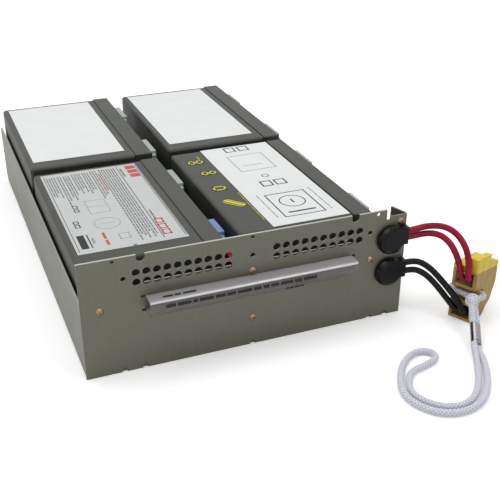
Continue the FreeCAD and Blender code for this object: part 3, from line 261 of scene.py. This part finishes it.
def bump_by(material, noise, height, strength):
    """Bump of a height in metres."""
    bump = node(material, "ShaderNodeBump", Strength=strength, Distance=height)
    join(material, noise, bump.inputs["Height"])
    join(material, bump.outputs["Normal"], shader_of(material).inputs["Normal"])


def scaled(colour, factor):
    """A colour made lighter or darker."""
    return tuple(min(1.0, channel * factor) for channel in colour)


def tone_by(material, noise, colour, darkest, lightest):
    """Base colour that drifts with a noise between two tones of one colour."""
    tones = drift(material, noise, scaled(colour, darkest), scaled(colour, lightest))
    colour_from(material, tones)


def sheet_steel(name, colour, stretch, top):
    """Sheet with a drawn grain and cloudy handling marks, and a painted highlight along its top
    edge at `top`.
    """
    material = shade(name, colour, roughness=0.4, metallic=0.85)
    streaks = grain(material, 700, stretch, detail=5)
    clouds = grain(material, 16, detail=6, roughness=0.7)
    marks = mixed(material, "FLOAT", CLOUDS_IN_MARKS, streaks, clouds)
    face = drift(material, marks, scaled(colour, 0.88), scaled(colour, 1.1))
    # Painted highlight: the band just under `top` is coloured light instead of the sheet's
    # grain.
    highlight_band = node(material, "ShaderNodeMath", operation="GREATER_THAN")
    join(material, height_of(material, "Object"), highlight_band.inputs[0])
    highlight_band.inputs[1].default_value = top - EDGE_HIGHLIGHT_BAND
    colour_from(material, mixed(material, "RGBA", highlight_band.outputs[0], face, (*EDGE_HIGHLIGHT_COLOUR, 1)))
    roughness_by(material, clouds, 0.34, 0.50)
    bump_by(material, streaks, 0.01 * MM, 0.35)
    return material


def moulded(name, colour, roughness, texture=0.03 * MM, **constants):
    """Moulded plastic: fine sparked texture with faint cloudiness."""
    material = shade(name, colour, roughness, **constants)
    cloud = grain(material, 30)
    tone_by(material, cloud, colour, 0.9, 1.1)
    roughness_by(material, cloud, roughness * 0.88, min(1.0, roughness * 1.12))
    bump_by(material, grain(material, 2600, detail=2), texture, 0.6)
    return material


def coated_paper(name, colour):
    """Coated label stock: nearly even, with a faint mottle and a slight unevenness."""
    material = shade(name, colour, 0.42)
    mottle = grain(material, 60, detail=3)
    tone_by(material, mottle, colour, 0.975, 1.02)
    roughness_by(material, grain(material, 240), 0.36, 0.5)
    bump_by(material, grain(material, 90, detail=2), 0.05 * MM, 0.3)
    return material


def clear_plastic(name):
    """Flexible clear film, its colour painted by the way its faces look: darker painted shade
    where it stands, a white painted highlight along its bend, a paler painted sheen on its top.
    """
    material = shade(name, FILM_UPRIGHT_SHADE, 0.14, IOR=1.49, Coat_Weight=0.5, Coat_Roughness=0.05)
    upward = height_of(material, "Normal")
    lines = grain(material, 90, (0.05, 1, 1), detail=3)
    # Painted light and shade: the film's colour follows the height of its surface's direction,
    # dark upright, white on the bend, pale on top.
    film_light_and_shade = ramp(material, upward, [(0.25, FILM_UPRIGHT_SHADE), (0.5, FILM_BEND_HIGHLIGHT), (0.66, FILM_BEND_HIGHLIGHT),
                                  (0.9, FILM_TOP_SHEEN)])
    tint = drift(material, lines, 0.84, 1.0)
    colour_from(material, mixed(material, "RGBA", 1.0, film_light_and_shade, tint, blend_type="MULTIPLY"))
    cover = ramp(material, upward, [(0.25, 0.45), (0.5, 0.9)])
    join(material, cover, shader_of(material).inputs["Alpha"])
    roughness_by(material, lines, 0.10, 0.2)
    bump_by(material, lines, 0.01 * MM, 0.3)
    return material


def insulation(name, colour, specular):
    """Wire insulation: glossy, slightly uneven."""
    material = shade(name, colour, 0.26, Specular_IOR_Level=specular)
    unevenness = grain(material, 110, detail=3)
    tone_by(material, unevenness, colour, 0.78, 1.15)
    roughness_by(material, unevenness, 0.2, 0.34)
    bump_by(material, grain(material, 420, detail=2), 0.08 * MM, 0.35)
    return material


def plated(name, colour, roughness):
    """Small plated metal piece with faint tarnish."""
    material = shade(name, colour, roughness, metallic=1.0)
    tarnish = grain(material, 500)
    tone_by(material, tarnish, colour, 0.7, 1.15)
    roughness_by(material, tarnish, roughness * 0.8, roughness * 1.3)
    bump_by(material, grain(material, 1400, detail=2), 0.02 * MM, 0.5)
    return material


def braid_fibre(name, colour):
    """White braid fibre, shadowed in the grooves that the braid's relief leaves."""
    material = shade(name, colour, 0.8, Sheen_Weight=0.2, Sheen_Roughness=0.5)
    relief = node(material, "ShaderNodeAttribute", attribute_name=RELIEF)
    # Painted shade that follows the braid's relief.
    relief_shade = ramp(material, relief.outputs["Fac"],
                  [(0.15, GROOVE_SHADOW), (0.45, STRAND_FLANK_SHADE), (0.8, 1.0)])
    fibre = grain(material, 2200, detail=3)
    tint = drift(material, fibre, scaled(colour, 0.9), scaled(colour, 1.15))
    colour_from(material, mixed(material, "RGBA", 1.0, relief_shade, tint, blend_type="MULTIPLY"))
    roughness_by(material, fibre, 0.7, 0.9)
    bump_by(material, fibre, 0.06 * MM, 0.7)
    return material


def streaked(name, low, high):
    """Moulded nylon whose colour runs in uneven upright streaks."""
    material = shade(name, high, 0.42, Specular_IOR_Level=0.18)
    streaks = grain(material, 210, (1, 1, 0.1), detail=5, roughness=0.7)
    colour_from(material, drift(material, streaks, low, high, 0.34, 0.62))
    roughness_by(material, streaks, 0.36, 0.5)
    bump_by(material, streaks, 0.03 * MM, 0.5)
    return material


def ink(name, colour):
    """Printed ink, a little worn."""
    material = shade(name, colour, 0.5, Specular_IOR_Level=0.1)
    wear = grain(material, 1500, detail=3)
    tone_by(material, wear, colour, 0.85, 1.25)
    roughness_by(material, wear, 0.42, 0.6)
    return material


MATERIALS = {
    "tray_steel": sheet_steel("tray_steel", (0.205, 0.208, 0.175), (1, 0.05, 1), TRAY_TOP),
    "panel_steel": sheet_steel("panel_steel", (0.178, 0.173, 0.137), (1, 1, 0.08),
                               PANEL_HIGH.z),
    "clear_strip": clear_plastic("clear_strip"),
    "rivet_metal": plated("rivet_metal", (0.34, 0.235, 0.165), 0.26),
    "battery_case": moulded("battery_case", (0.037, 0.040, 0.032), 0.46,
                            Specular_IOR_Level=0.36),
    "battery_lid": moulded("battery_lid", (0.040, 0.043, 0.034), 0.46,
                           Specular_IOR_Level=0.36),
    "vent_plate": moulded("vent_plate", (0.04, 0.042, 0.037), 0.46),
    "label_white": coated_paper("label_white", (0.735, 0.75, 0.735)),
    "label_grey": coated_paper("label_grey", (0.52, 0.53, 0.525)),
    "foam": moulded("foam", (0.03, 0.03, 0.03), 0.9, texture=0.2 * MM),
    "terminal_tin": plated("terminal_tin", (0.62, 0.61, 0.58), 0.3),
    "boot_grey": moulded("boot_grey", (0.36, 0.41, 0.37), 0.45),
    "boot_blue": moulded("boot_blue", (0.15, 0.23, 0.54), 0.38),
    "relief_black": moulded("relief_black", (0.004, 0.004, 0.004), 0.2,
                            Specular_IOR_Level=0.2),
    "wire_red": insulation("wire_red", (0.30, 0.008, 0.030), 0.16),
    "wire_black": insulation("wire_black", (0.004, 0.004, 0.003), 0.22),
    "plug_beige": streaked("plug_beige", (0.30, 0.172, 0.036), (0.48, 0.345, 0.115)),
    "plug_yellow": streaked("plug_yellow", (0.60, 0.44, 0.03), (0.80, 0.62, 0.065)),
    "contact_silver": plated("contact_silver", (0.66, 0.65, 0.62), 0.28),
    "cord_white": braid_fibre("cord_white", (0.72, 0.72, 0.78)),
    "ferrule_metal": plated("ferrule_metal", (0.36, 0.33, 0.35), 0.12),
    "ink_dark": ink("ink_dark", (0.035, 0.035, 0.035)),
    "ink_grey": ink("ink_grey", (0.15, 0.155, 0.155)),
    "ink_pale": ink("ink_pale", (0.30, 0.31, 0.31)),
    "ink_red": ink("ink_red", (0.46, 0.10, 0.09)),
    "ink_yellow": ink("ink_yellow", (0.62, 0.60, 0.06)),
}


def dress_solids():
    """Give every CAD node the material of its slot in the record."""
    for name, solid in frame["nodes"].items():
        solid.data.materials.clear()
        solid.data.materials.append(MATERIALS[SLOTS[name]])


def add_piece(name, data, slot, finish=None):
    """Link a mesh or curve as a piece of the cartridge, in its slot's finish or another."""
    piece = bpy.data.objects.new(name, data)
    bpy.context.scene.collection.objects.link(piece)
    data.materials.append(MATERIALS[finish or slot])
    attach(piece, "root")
    return piece


def mesh_of(name, points, faces):
    """Mesh from points and faces."""
    mesh = bpy.data.meshes.new(name)
    mesh.from_pydata(points, [], faces)
    mesh.update()
    return mesh


def smooth(mesh):
    """Shade every face of a mesh smooth."""
    for polygon in mesh.polygons:
        polygon.use_smooth = True


# ---------------------------------------------------------------- print on labels and cases

# All figures are in millimetres from their label's left front corner.
INK_THICKNESS = 0.03
RING_STROKES = 28
# Bars that stand for words: shortest length, how much longer they get, and their gap.
WORD_SHORTEST = 1.0
WORD_GROWTH = 2.6
WORD_GAP = 0.7
# Lines of a paragraph: their spacing and width, and how far they are ragged at one end.
LINE_SPACING = 1.8
LINE_WIDTH = 0.95
LINE_RAG = 10
# Steps along the wave that makes words uneven, by millimetre across the label and by word,
# and the one that makes a paragraph ragged, by line.
ACROSS_PHASE = 7.3
WORD_PHASE = 2.1
RAG_PHASE = 2.4

# Each printed piece: its name, the node that it lies on, its ink and its figures, which are
# paragraphs: left side, number of lines, start and end; lines: left, start, end and width;
# fields: left, front, width and length; frames: the same and the line's width;
# rings: centre, radius and line's width; strokes: start, end and width.
PRINTS = [
    ("print_lines_left", "label_front_left", "ink_grey", {
        "paragraphs": [(3.4, 4, 88, 127), (11.2, 2, 72, 127.5), (15.4, 3, 80, 126.6),
                       (21.6, 4, 90, 128), (29.4, 3, 88, 128.5), (35.4, 3, 76, 128.8),
                       (42.2, 7, 6, 129.5)],
        "lines": [(57.6, 110, 126, 1.6), (58, 33, 48, 1.4)]}),
    ("print_rules_left", "label_front_left", "ink_dark", {
        "fields": [(1.6, 3, 0.4, 127), (55.3, 4, 0.5, 126), (69.0, 3, 0.35, 127),
                   (69.9, 3, 0.35, 127), (4.0, 6.4, 4.6, 19.3), (10.2, 6.4, 0.8, 19.3),
                   (34.6, 0.2, 2.4, 1.2)],
        "frames": [(10.7, 61, 3.5, 4.8, 0.7), (10.7, 67, 3.5, 4.8, 0.7),
                   (6.2, 37, 3.6, 4.6, 0.7), (6.2, 42.6, 3.6, 4.6, 0.7)]}),
    ("print_red_left", "label_front_left", "ink_red", {
        "fields": [(40.2, 90, 0.9, 32.6), (20.0, 7, 1.8, 7), (20.0, 16, 1.8, 9),
                   (61.6, 107, 7.0, 6.4), (61.6, 115, 7.0, 6.4), (61.6, 123, 7.0, 6.4)],
        "frames": [(56.4, 8.4, 5.8, 7.2, 1.1), (56.4, 17, 5.8, 7.2, 1.1),
                   (56.4, 25.6, 5.8, 7.2, 1.1)]}),
    ("print_faint_left", "label_front_left", "ink_pale", {
        "frames": [(20, 55, 14, 22, 0.5), (29.6, 12, 7, 8, 0.6)],
        "rings": [((27, 38), 8.5, 0.5)],
        "fields": [(20, 66, 14, 0.4), (21.5, 37.7, 11, 0.5), (12.2, 12, 1.6, 8)]}),
    ("print_figures_right", "label_front_right", "ink_dark", {
        "rings": [((28, 81), 2.5, 0.7), ((28, 33), 9, 0.8)],
        "frames": [(13, 10, 30, 38, 0.9), (17.6, 134.5, 8.6, 9.4, 1.1),
                   (28.6, 134.5, 8.6, 9.4, 1.1), (19, 62.4, 8.6, 9.4, 1.1),
                   (29.6, 62.4, 8.6, 9.4, 1.1)],
        "fields": [(18, 15.5, 20, 1.8), (27.4, 30, 1.2, 6)]}),
    ("print_faint_right", "label_front_right", "ink_grey", {
        "frames": [(14.5, 94, 28.3, 32, 0.5)],
        "fields": [(20, 104, 16, 0.5)],
        "lines": [(47.8, 12, 50, 0.7), (8.2, 12, 50, 0.7)]}),
    # Negative lefts are on the bare case beside the label.
    ("print_yellow_right", "label_front_right", "ink_yellow", {
        "frames": [(-16.6, 121, 5.2, 6.4, 1.1), (-10.6, 121, 5.2, 6.4, 1.1),
                   (-14.0, 98, 5.0, 6.0, 1.1), (-8.2, 98, 5.0, 6.0, 1.1),
                   (-15.4, 68, 9.0, 7.0, 1.3)],
        "lines": [(-6.4, 129, 135, 1.0), (-1.5, 12, 60, 0.5)],
        "strokes": [((-15.5, 50.4), (-4.9, 37.9), 2.6), ((-13, 51.4), (-3.4, 40), 0.9),
                    ((-17, 47.6), (-7.6, 36.6), 0.9)]}),
]


def stroke(start, end, width):
    """Straight bar between two points, as a list of its one outline."""
    start, end = Vector(start), Vector(end)
    beside = (end - start).orthogonal().normalized() * (width / 2)
    return [[start + beside, start - beside, end - beside, end + beside]]


def field(left, front, width, length):
    """Filled upright rectangle from its corner."""
    return stroke((left + width / 2, front), (left + width / 2, front + length), width)


def hollow(left, front, width, length, line):
    """Upright rectangle drawn as four bars."""
    return (field(left, front, line, length) + field(left + width - line, front, line, length)
            + field(left, front, width, line) + field(left, front + length - line, width, line))


def ring(centre, radius, width):
    """Circle line as a run of short strokes."""
    angles = [math.tau * i / RING_STROKES for i in range(RING_STROKES + 1)]
    points = [Vector(centre) + Vector((math.cos(a), math.sin(a))) * radius for a in angles]
    return [outline for a, b in zip(points, points[1:]) for outline in stroke(a, b, width)]


def wave(phase):
    """Uneven value between 0 and 1 that is the same each run."""
    return 0.5 + 0.5 * math.sin(phase)


def text_line(across, start, end, width):
    """Row of uneven short bars along a line, as a line of small print looks from afar."""
    bars, place, count = [], start, 0
    while place < end:
        length = WORD_SHORTEST + WORD_GROWTH * wave(across * ACROSS_PHASE + count * WORD_PHASE)
        length = min(length, end - place)
        bars += stroke((across, place), (across, place + length), width)
        place += length + WORD_GAP
        count += 1
    return bars


def paragraph(left, count, start, end):
    """Lines of small print side by side, ragged at one end."""
    lines = []
    for i in range(count):
        ragged = start + LINE_RAG * wave(left + RAG_PHASE * i)
        lines += text_line(left + i * LINE_SPACING, ragged, end, LINE_WIDTH)
    return lines


FIGURES = {"paragraphs": paragraph, "lines": text_line, "fields": field, "frames": hollow,
           "rings": ring, "strokes": stroke}


def print_on(name, node_name, ink_name, outlines):
    """Thin printed shapes on the upper face of a node."""
    low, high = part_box(node_name)
    origin = Vector((low.x, low.y, high.z))
    points, faces = [], []
    for outline in outlines:
        first, count = len(points), len(outline)
        for level in (0.0, INK_THICKNESS):
            points += [origin + Vector((*corner, level)) * MM for corner in outline]
        faces.append([first + count + i for i in range(count)])
        faces.append([first + i for i in reversed(range(count))])
        for i in range(count):
            k = (i + 1) % count
            faces.append([first + i, first + k, first + count + k, first + count + i])
    add_piece(name, mesh_of(name, points, faces), SLOTS[node_name], ink_name)


def print_labels():
    """Every printed piece, from the figures that its entry lists."""
    for name, node_name, ink_name, figures in PRINTS:
        outlines = [outline for kind, rows in figures.items() for row in rows
                    for outline in FIGURES[kind](*row)]
        print_on(name, node_name, ink_name, outlines)


# ---------------------------------------------------------------- print on the pull strip

# Millimetres that the print lies off the film, and the level of the strip's flat top.
STRIP_PRINT_LIFT = 0.02
STRIP_TOP = 50.85


def side_by_side(left, gap, widths):
    """Left ends and widths of bars that follow each other."""
    bars = []
    for width in widths:
        bars.append((left, width))
        left += width + gap
    return bars


# Rows of bars in millimetres from the strip's left front: depth and foot of the row, how its
# bars rise, and the bars. The first two rows are on the face, the last one is on the top.
STRIP_ROWS = [
    (-STRIP_PRINT_LIFT, 45.5, (0, 0, 2.2), side_by_side(
        9.5, 1.1, [6.2, 8.4, 3.0, 9.0, 6.4, 5.6, 9.6, 5.2, 4.2, 5.4, 8.4, 5.0, 9.2])),
    (-STRIP_PRINT_LIFT, 41.6, (0, 0, 1.2), side_by_side(87.4, 0.6, [1.8, 2.6, 3.4, 2.2])),
    (3.4, STRIP_TOP + STRIP_PRINT_LIFT, (0, 2.2, 0), [(9.0, 6.2), (16.2, 4.0), (21.4, 8.4)]),
]


def print_strip():
    """Printed bars on the pull strip's face and top."""
    low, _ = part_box("pull_strip")
    origin = Vector((low.x, low.y, 0))
    points = []
    for depth, foot, rise, bars in STRIP_ROWS:
        for left, width in bars:
            corner = Vector((left, depth, foot))
            across, up = Vector((width, 0, 0)), Vector(rise)
            outline = (corner, corner + across, corner + across + up, corner + up)
            points += [origin + point * MM for point in outline]
    faces = [list(range(i, i + 4)) for i in range(0, len(points), 4)]
    add_piece("strip_print", mesh_of("strip_print", points, faces), "clear_strip", "ink_dark")


# ---------------------------------------------------------------- hoods of the terminal boots

# Where a hood's sides lie, in millimetres right, back and up from the same sides of its boot's
# box: front and back by the boot's material, and left and right. Foot and top are counted from
# the boot's top.
HOOD_FRONT_BACK = {"boot_blue": (9.0, 8.5), "boot_grey": (4.5, 11.5)}
HOOD_LEFT_RIGHT = (0.1, 0.6)
HOOD_FOOT_TOP = (-5.0, 2.3)
HOOD_ROUNDING = 0.8


def soft_box(name, low, high, slot, rounding):
    """Box between two corners with rounded edges, as a piece."""
    form = bmesh.new()
    bmesh.ops.create_cube(form, size=1)
    for vertex in form.verts:
        vertex.co = [low[i] + (vertex.co[i] + 0.5) * (high[i] - low[i]) for i in range(3)]
    bmesh.ops.bevel(form, geom=form.edges[:], offset=rounding, segments=3, profile=0.5,
                    affect="EDGES")
    mesh = bpy.data.meshes.new(name)
    form.to_mesh(mesh)
    form.free()
    smooth(mesh)
    add_piece(name, mesh, slot)


def cover_terminals():
    """Hood over each terminal boot, which stands up beside the battery's lid."""
    for node_name in sorted(n for n in SLOTS if n.startswith("terminal_boot_")):
        slot = SLOTS[node_name]
        low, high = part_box(node_name)
        left, right = HOOD_LEFT_RIGHT
        front, back = HOOD_FRONT_BACK[slot]
        foot, top = HOOD_FOOT_TOP
        soft_box(node_name.replace("terminal_boot", "boot_hood"),
                 (low.x + left * MM, low.y + front * MM, high.z + foot * MM),
                 (high.x + right * MM, high.y + back * MM, high.z + top * MM),
                 slot, HOOD_ROUNDING * MM)


# ---------------------------------------------------------------- wires and cord

def from_corner(point):
    """A route's point in the frame, in metres."""
    return CORNER + Vector(point) * MM


def spline_curve(name, points, radius=0.0):
    """Open NURBS curve with the route's points as control points."""
    curve = bpy.data.curves.new(name, "CURVE")
    curve.dimensions = "3D"
    curve.resolution_u = 12
    curve.bevel_depth = radius
    curve.bevel_resolution = 5
    spline = curve.splines.new("NURBS")
    spline.points.add(len(points) - 1)
    for control, point in zip(spline.points, points):
        control.co = (*point, 1)
    spline.order_u = 3
    spline.use_endpoint_u = True
    return curve


def followed(route):
    """Points along a route's NURBS curve, as Blender evaluates it."""
    line = bpy.data.objects.new("line", spline_curve("line", route))
    bpy.context.scene.collection.objects.link(line)
    bpy.context.view_layer.update()
    evaluated = line.evaluated_get(bpy.context.evaluated_depsgraph_get())
    mesh = bpy.data.meshes.new_from_object(evaluated)
    points = [vertex.co.copy() for vertex in mesh.vertices]
    bpy.data.meshes.remove(mesh)
    bpy.data.objects.remove(line)
    return points


def route_length(points):
    """Length of a line through points."""
    return sum((b - a).length for a, b in zip(points, points[1:]))


def lay_wires():
    """The four free wires, as smooth curves between strain relief and connector."""
    for name, route in WIRE_ROUTES.items():
        points = [from_corner(point) for point in route]
        curve = spline_curve(name + "_free", points, WIRE_DIAMETER / 2)
        wire = add_piece(name + "_free", curve, SLOTS[name])
        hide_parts(name)
        route_length(followed(points))


def evenly(points, step):
    """Points at equal steps along a line, with the direction at each."""
    total = route_length(points)
    count = max(2, round(total / step))
    result, walked, index = [], 0.0, 0
    for i in range(count + 1):
        target = total * i / count
        while index < len(points) - 2:
            run = (points[index + 1] - points[index]).length
            if walked + run >= target:
                break
            walked += run
            index += 1
        run = (points[index + 1] - points[index]).length
        share = min(1.0, (target - walked) / run)
        result.append(points[index].lerp(points[index + 1], share))
    headings = [(b - a).normalized() for a, b in zip(result, result[1:])]
    headings.append(headings[-1])
    return result, headings


def side_frames(headings):
    """A sideways direction at each heading, carried along without twisting."""
    side = headings[0].cross(Vector((0, 0, 1))).normalized()
    sides = []
    for heading in headings:
        side = (side - heading * side.dot(heading)).normalized()
        sides.append(side)
    return sides


def braid_relief(angle, along):
    """Height, 0 to 1, of a round braid's surface: two families of strands over and under."""
    turn = angle / math.tau * BRAID_CARRIERS
    advance = along / BRAID_PITCH * BRAID_CARRIERS
    right = (turn + advance) / 2
    left = (turn - advance) / 2
    over_right = (math.floor(right) + math.floor(left)) % 2 == 0
    across = (right if over_right else left) % 1.0
    length_way = (left if over_right else right) % 1.0
    crown = math.sin(math.pi * across) ** STRAND_FLATNESS
    return crown * (STRAND_DIP + (1 - STRAND_DIP) * math.sin(math.pi * length_way))


def braided_tube(points):
    """Points, faces and relief of a tube along a line, whose surface carries the braid."""
    around = BRAID_POINTS_AROUND
    stations, headings = evenly(points, BRAID_STEP)
    step = route_length(points) / (len(stations) - 1)
    mesh_points, faces, heights = [], [], []
    for i, (station, heading, side) in enumerate(zip(stations, headings, side_frames(headings))):
        up = side.cross(heading).normalized()
        for j in range(around):
            angle = math.tau * j / around
            relief = braid_relief(angle, i * step)
            radius = CORD_DIAMETER / 2 - BRAID_DEPTH * (1 - relief)
            outward = side * math.cos(angle) + up * math.sin(angle)
            mesh_points.append(station + outward * radius)
            heights.append(relief)
    last = (len(stations) - 1) * around
    for first in range(0, last, around):
        for j in range(around):
            k = (j + 1) % around
            faces.append((first + j, first + k, first + around + k, first + around + j))
    faces.append(tuple(reversed(range(around))))
    faces.append(tuple(range(last, last + around)))
    return mesh_points, faces, heights


def braided_piece(name, lines):
    """One piece of braided cord along several lines."""
    mesh_points, faces, heights = [], [], []
    for line in lines:
        tube_points, tube_faces, tube_heights = braided_tube(line)
        first = len(mesh_points)
        mesh_points += tube_points
        faces += [[first + i for i in face] for face in tube_faces]
        heights += tube_heights
    mesh = mesh_of(name, mesh_points, faces)
    mesh.attributes.new(RELIEF, "FLOAT", "POINT").data.foreach_set("value", heights)
    smooth(mesh)
    return add_piece(name, mesh, "cord_white")


def ferrule_frame():
    """Top and end of the ferrule, its heading, and half the way between its two strands."""
    top, end = from_corner(FERRULE_TOP), from_corner(FERRULE_END)
    heading = (end - top).normalized()
    up = (Vector((0, 0, 1)) - heading * heading.z).normalized()
    lift = up * math.cos(STRAND_TILT) + heading.cross(up) * math.sin(STRAND_TILT)
    return top, end, heading, lift * (STRAND_SPREAD / 2)


def rounded_loop(corners, bend, steps):
    """Closed line round square corners, each cut by an arc of radius `bend`."""
    points = []
    for i, corner in enumerate(corners):
        back = (corners[i - 1] - corner).normalized()
        ahead = (corners[(i + 1) % len(corners)] - corner).normalized()
        centre = corner + (back + ahead) * bend
        for j in range(steps + 1):
            angle = math.pi / 2 * j / steps
            points.append(centre - (ahead * math.cos(angle) + back * math.sin(angle)) * bend)
    return points + points[:1]


def hitch_loop():
    """The loop's line, through the plug's eye and round its waist."""
    to_frame = Matrix.Translation(from_corner(PLUG_CORNER)) @ Matrix.Rotation(PLUG_TURN, 4, "Z")
    stand_off = CORD_DIAMETER / 2 + HITCH_CLEARANCE
    far = PLUG_THICKNESS + stand_off
    corners = [(HITCH_FRONT, -stand_off), (CORD_EYE_REACH, -stand_off), (CORD_EYE_REACH, far),
               (HITCH_FRONT, far)]
    return rounded_loop([to_frame @ Vector((x, y, CORD_EYE_LEVEL)) for x, y in corners],
                        HITCH_BEND, HITCH_BEND_STEPS)


def knot_turns(centre, radius):
    """Closed line that winds round a ball while it swings up and down."""
    points = []
    for i in range(KNOT_POINTS + 1):
        turn = math.tau * i / KNOT_POINTS
        swing = KNOT_SWING_ANGLE * math.sin(KNOT_SWINGS * turn)
        level = math.cos(swing)
        outward = Vector((level * math.cos(KNOT_ROUNDS * turn),
                          level * math.sin(KNOT_ROUNDS * turn), math.sin(swing)))
        points.append(centre + outward * radius)
    return points


def tie_hitch():
    """Braided cord through the plug's eye and round its waist, its knot and doubled tail."""
    knot = from_corner(KNOT_CENTRE)
    lines = [hitch_loop(), knot_turns(knot, KNOT_RADIUS - CORD_DIAMETER / 2)]
    top, _, heading, lift = ferrule_frame()
    for strand_lift in (lift, -lift):
        end = top + strand_lift
        lines.append(followed([knot + strand_lift * KNOT_PINCH, end - heading * FERRULE_ENTRY,
                               end]))
    hitch = braided_piece("cord_hitch_braid", lines)
    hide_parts("cord_hitch")
    return hitch


def lay_pull_cord(hitch):
    """The braided loop, from one end of the ferrule round and back to it."""
    _, end, heading, lift = ferrule_frame()
    start, finish = end - lift, end + lift
    on_floor = CORD_DIAMETER / 2 + FLOOR_GAP
    route = [start, start + heading * ((on_floor - start.z) / heading.z)]
    route += [from_corner((x, y, on_floor / MM)) for x, y in LOOP_ON_FLOOR]
    route += [from_corner(point) for point in LOOP_RISE]
    route += [finish + heading * FERRULE_EXIT, finish]
    points = followed(route)
    cord = braided_piece("pull_cord_braid", [points])
    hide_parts("pull_cord")


# ---------------------------------------------------------------- stage

FLOOR_REACH = 6.0
FLOOR_DROP = 0.2 * MM
FLOOR_COLOUR = (0.93, 0.93, 0.93)
# Distance from the object and strength of the floor's own light there.
FLOOR_GLOW = [(0.45, 0.27), (0.95, 1.0)]
SKY_COLOUR = (0.97, 0.985, 1.0)
SKY_STRENGTH = 0.45
# Name, place, point that it is aimed at, size and power of each square softbox.
LAMPS = [
    ("key", (-0.6, 0.0, 1.6), (0, 0, 0), 1.2, 11),
    ("top", (0.3, 0.5, 1.7), (0, 0, 0), 1.4, 7),
    ("glint", (0.56, -0.86, 1.35), (0, -0.17, 0.05), 0.35, 3.5),
]
CAMERA_PLACE = (-0.17648, -0.59901, 0.31142)
# The camera's tilt below the horizon and its turn to the right, in degrees.
CAMERA_DOWN = 27.41
CAMERA_RIGHT = 21.86
# Lens and sensor in millimetres.
CAMERA_LENS = 62.25
CAMERA_SENSOR = 36.0


def floor_material():
    """Pale matt floor; the camera sees it turn plain white away from the object."""
    material = shade("floor_white", FLOOR_COLOUR, 0.9, Specular_IOR_Level=0.0)
    matt = shader_of(material).outputs[0]
    place = node(material, "ShaderNodeTexCoord")
    distance = node(material, "ShaderNodeVectorMath", operation="LENGTH")
    join(material, place.outputs["Object"], distance.inputs[0])
    glow = node(material, "ShaderNodeEmission")
    join(material, ramp(material, distance.outputs["Value"], FLOOR_GLOW),
         glow.inputs["Strength"])
    lit = node(material, "ShaderNodeAddShader")
    join(material, matt, lit.inputs[0])
    join(material, glow.outputs[0], lit.inputs[1])
    rays = node(material, "ShaderNodeLightPath")
    seen = choose(material, rays.outputs["Is Camera Ray"], matt, lit.outputs[0])
    join(material, seen, material.node_tree.nodes["Material Output"].inputs["Surface"])
    return material


def add_floor():
    """Floor under the object, which keeps its shadow."""
    reach = FLOOR_REACH
    corners = [(-reach, -reach, 0), (reach, -reach, 0), (reach, reach, 0), (-reach, reach, 0)]
    floor = bpy.data.objects.new("floor", mesh_of("floor", corners, [(0, 1, 2, 3)]))
    floor.location.z = -FLOOR_DROP
    floor.data.materials.append(floor_material())
    bpy.context.scene.collection.objects.link(floor)


def light_world():
    """Even pale surroundings; camera, gloss and glass see plain white."""
    world = bpy.data.worlds.new("studio")
    bpy.context.scene.world = world
    world.use_nodes = True
    sky = world.node_tree.nodes["Background"]
    sky.inputs["Color"].default_value = (*SKY_COLOUR, 1)
    sky.inputs["Strength"].default_value = SKY_STRENGTH
    white = node(world, "ShaderNodeBackground", Color=(1, 1, 1, 1))
    rays = node(world, "ShaderNodeLightPath")
    factor = rays.outputs["Is Camera Ray"]
    for kind in ("Is Glossy Ray", "Is Transmission Ray"):
        either = node(world, "ShaderNodeMath", operation="MAXIMUM")
        join(world, factor, either.inputs[0])
        join(world, rays.outputs[kind], either.inputs[1])
        factor = either.outputs[0]
    seen = choose(world, factor, sky.outputs[0], white.outputs[0])
    join(world, seen, world.node_tree.nodes["World Output"].inputs["Surface"])


def add_lamp(name, place, target, size, power):
    """Square softbox aimed at a point."""
    data = bpy.data.lights.new(name, "AREA")
    data.size = size
    data.energy = power
    lamp = bpy.data.objects.new(name, data)
    lamp.location = place
    aim = Vector(target) - Vector(place)
    lamp.rotation_euler = aim.to_track_quat("-Z", "Y").to_euler()
    bpy.context.scene.collection.objects.link(lamp)


def add_camera():
    """Camera to the left of and above the panel."""
    data = bpy.data.cameras.new("camera")
    data.lens = CAMERA_LENS
    data.sensor_width = CAMERA_SENSOR
    camera = bpy.data.objects.new("camera", data)
    camera.location = CAMERA_PLACE
    camera.rotation_euler = (math.radians(90 - CAMERA_DOWN), 0, math.radians(-CAMERA_RIGHT))
    bpy.context.scene.collection.objects.link(camera)
    bpy.context.scene.camera = camera


def main():
    """Dress the cartridge, lay its wires and cord, print it, and light it."""
    dress_solids()
    lay_wires()
    lay_pull_cord(tie_hitch())
    print_labels()
    cover_terminals()
    print_strip()
    add_floor()
    light_world()
    for lamp in LAMPS:
        add_lamp(*lamp)
    add_camera()
    bpy.context.scene.view_settings.view_transform = "Standard"


main()
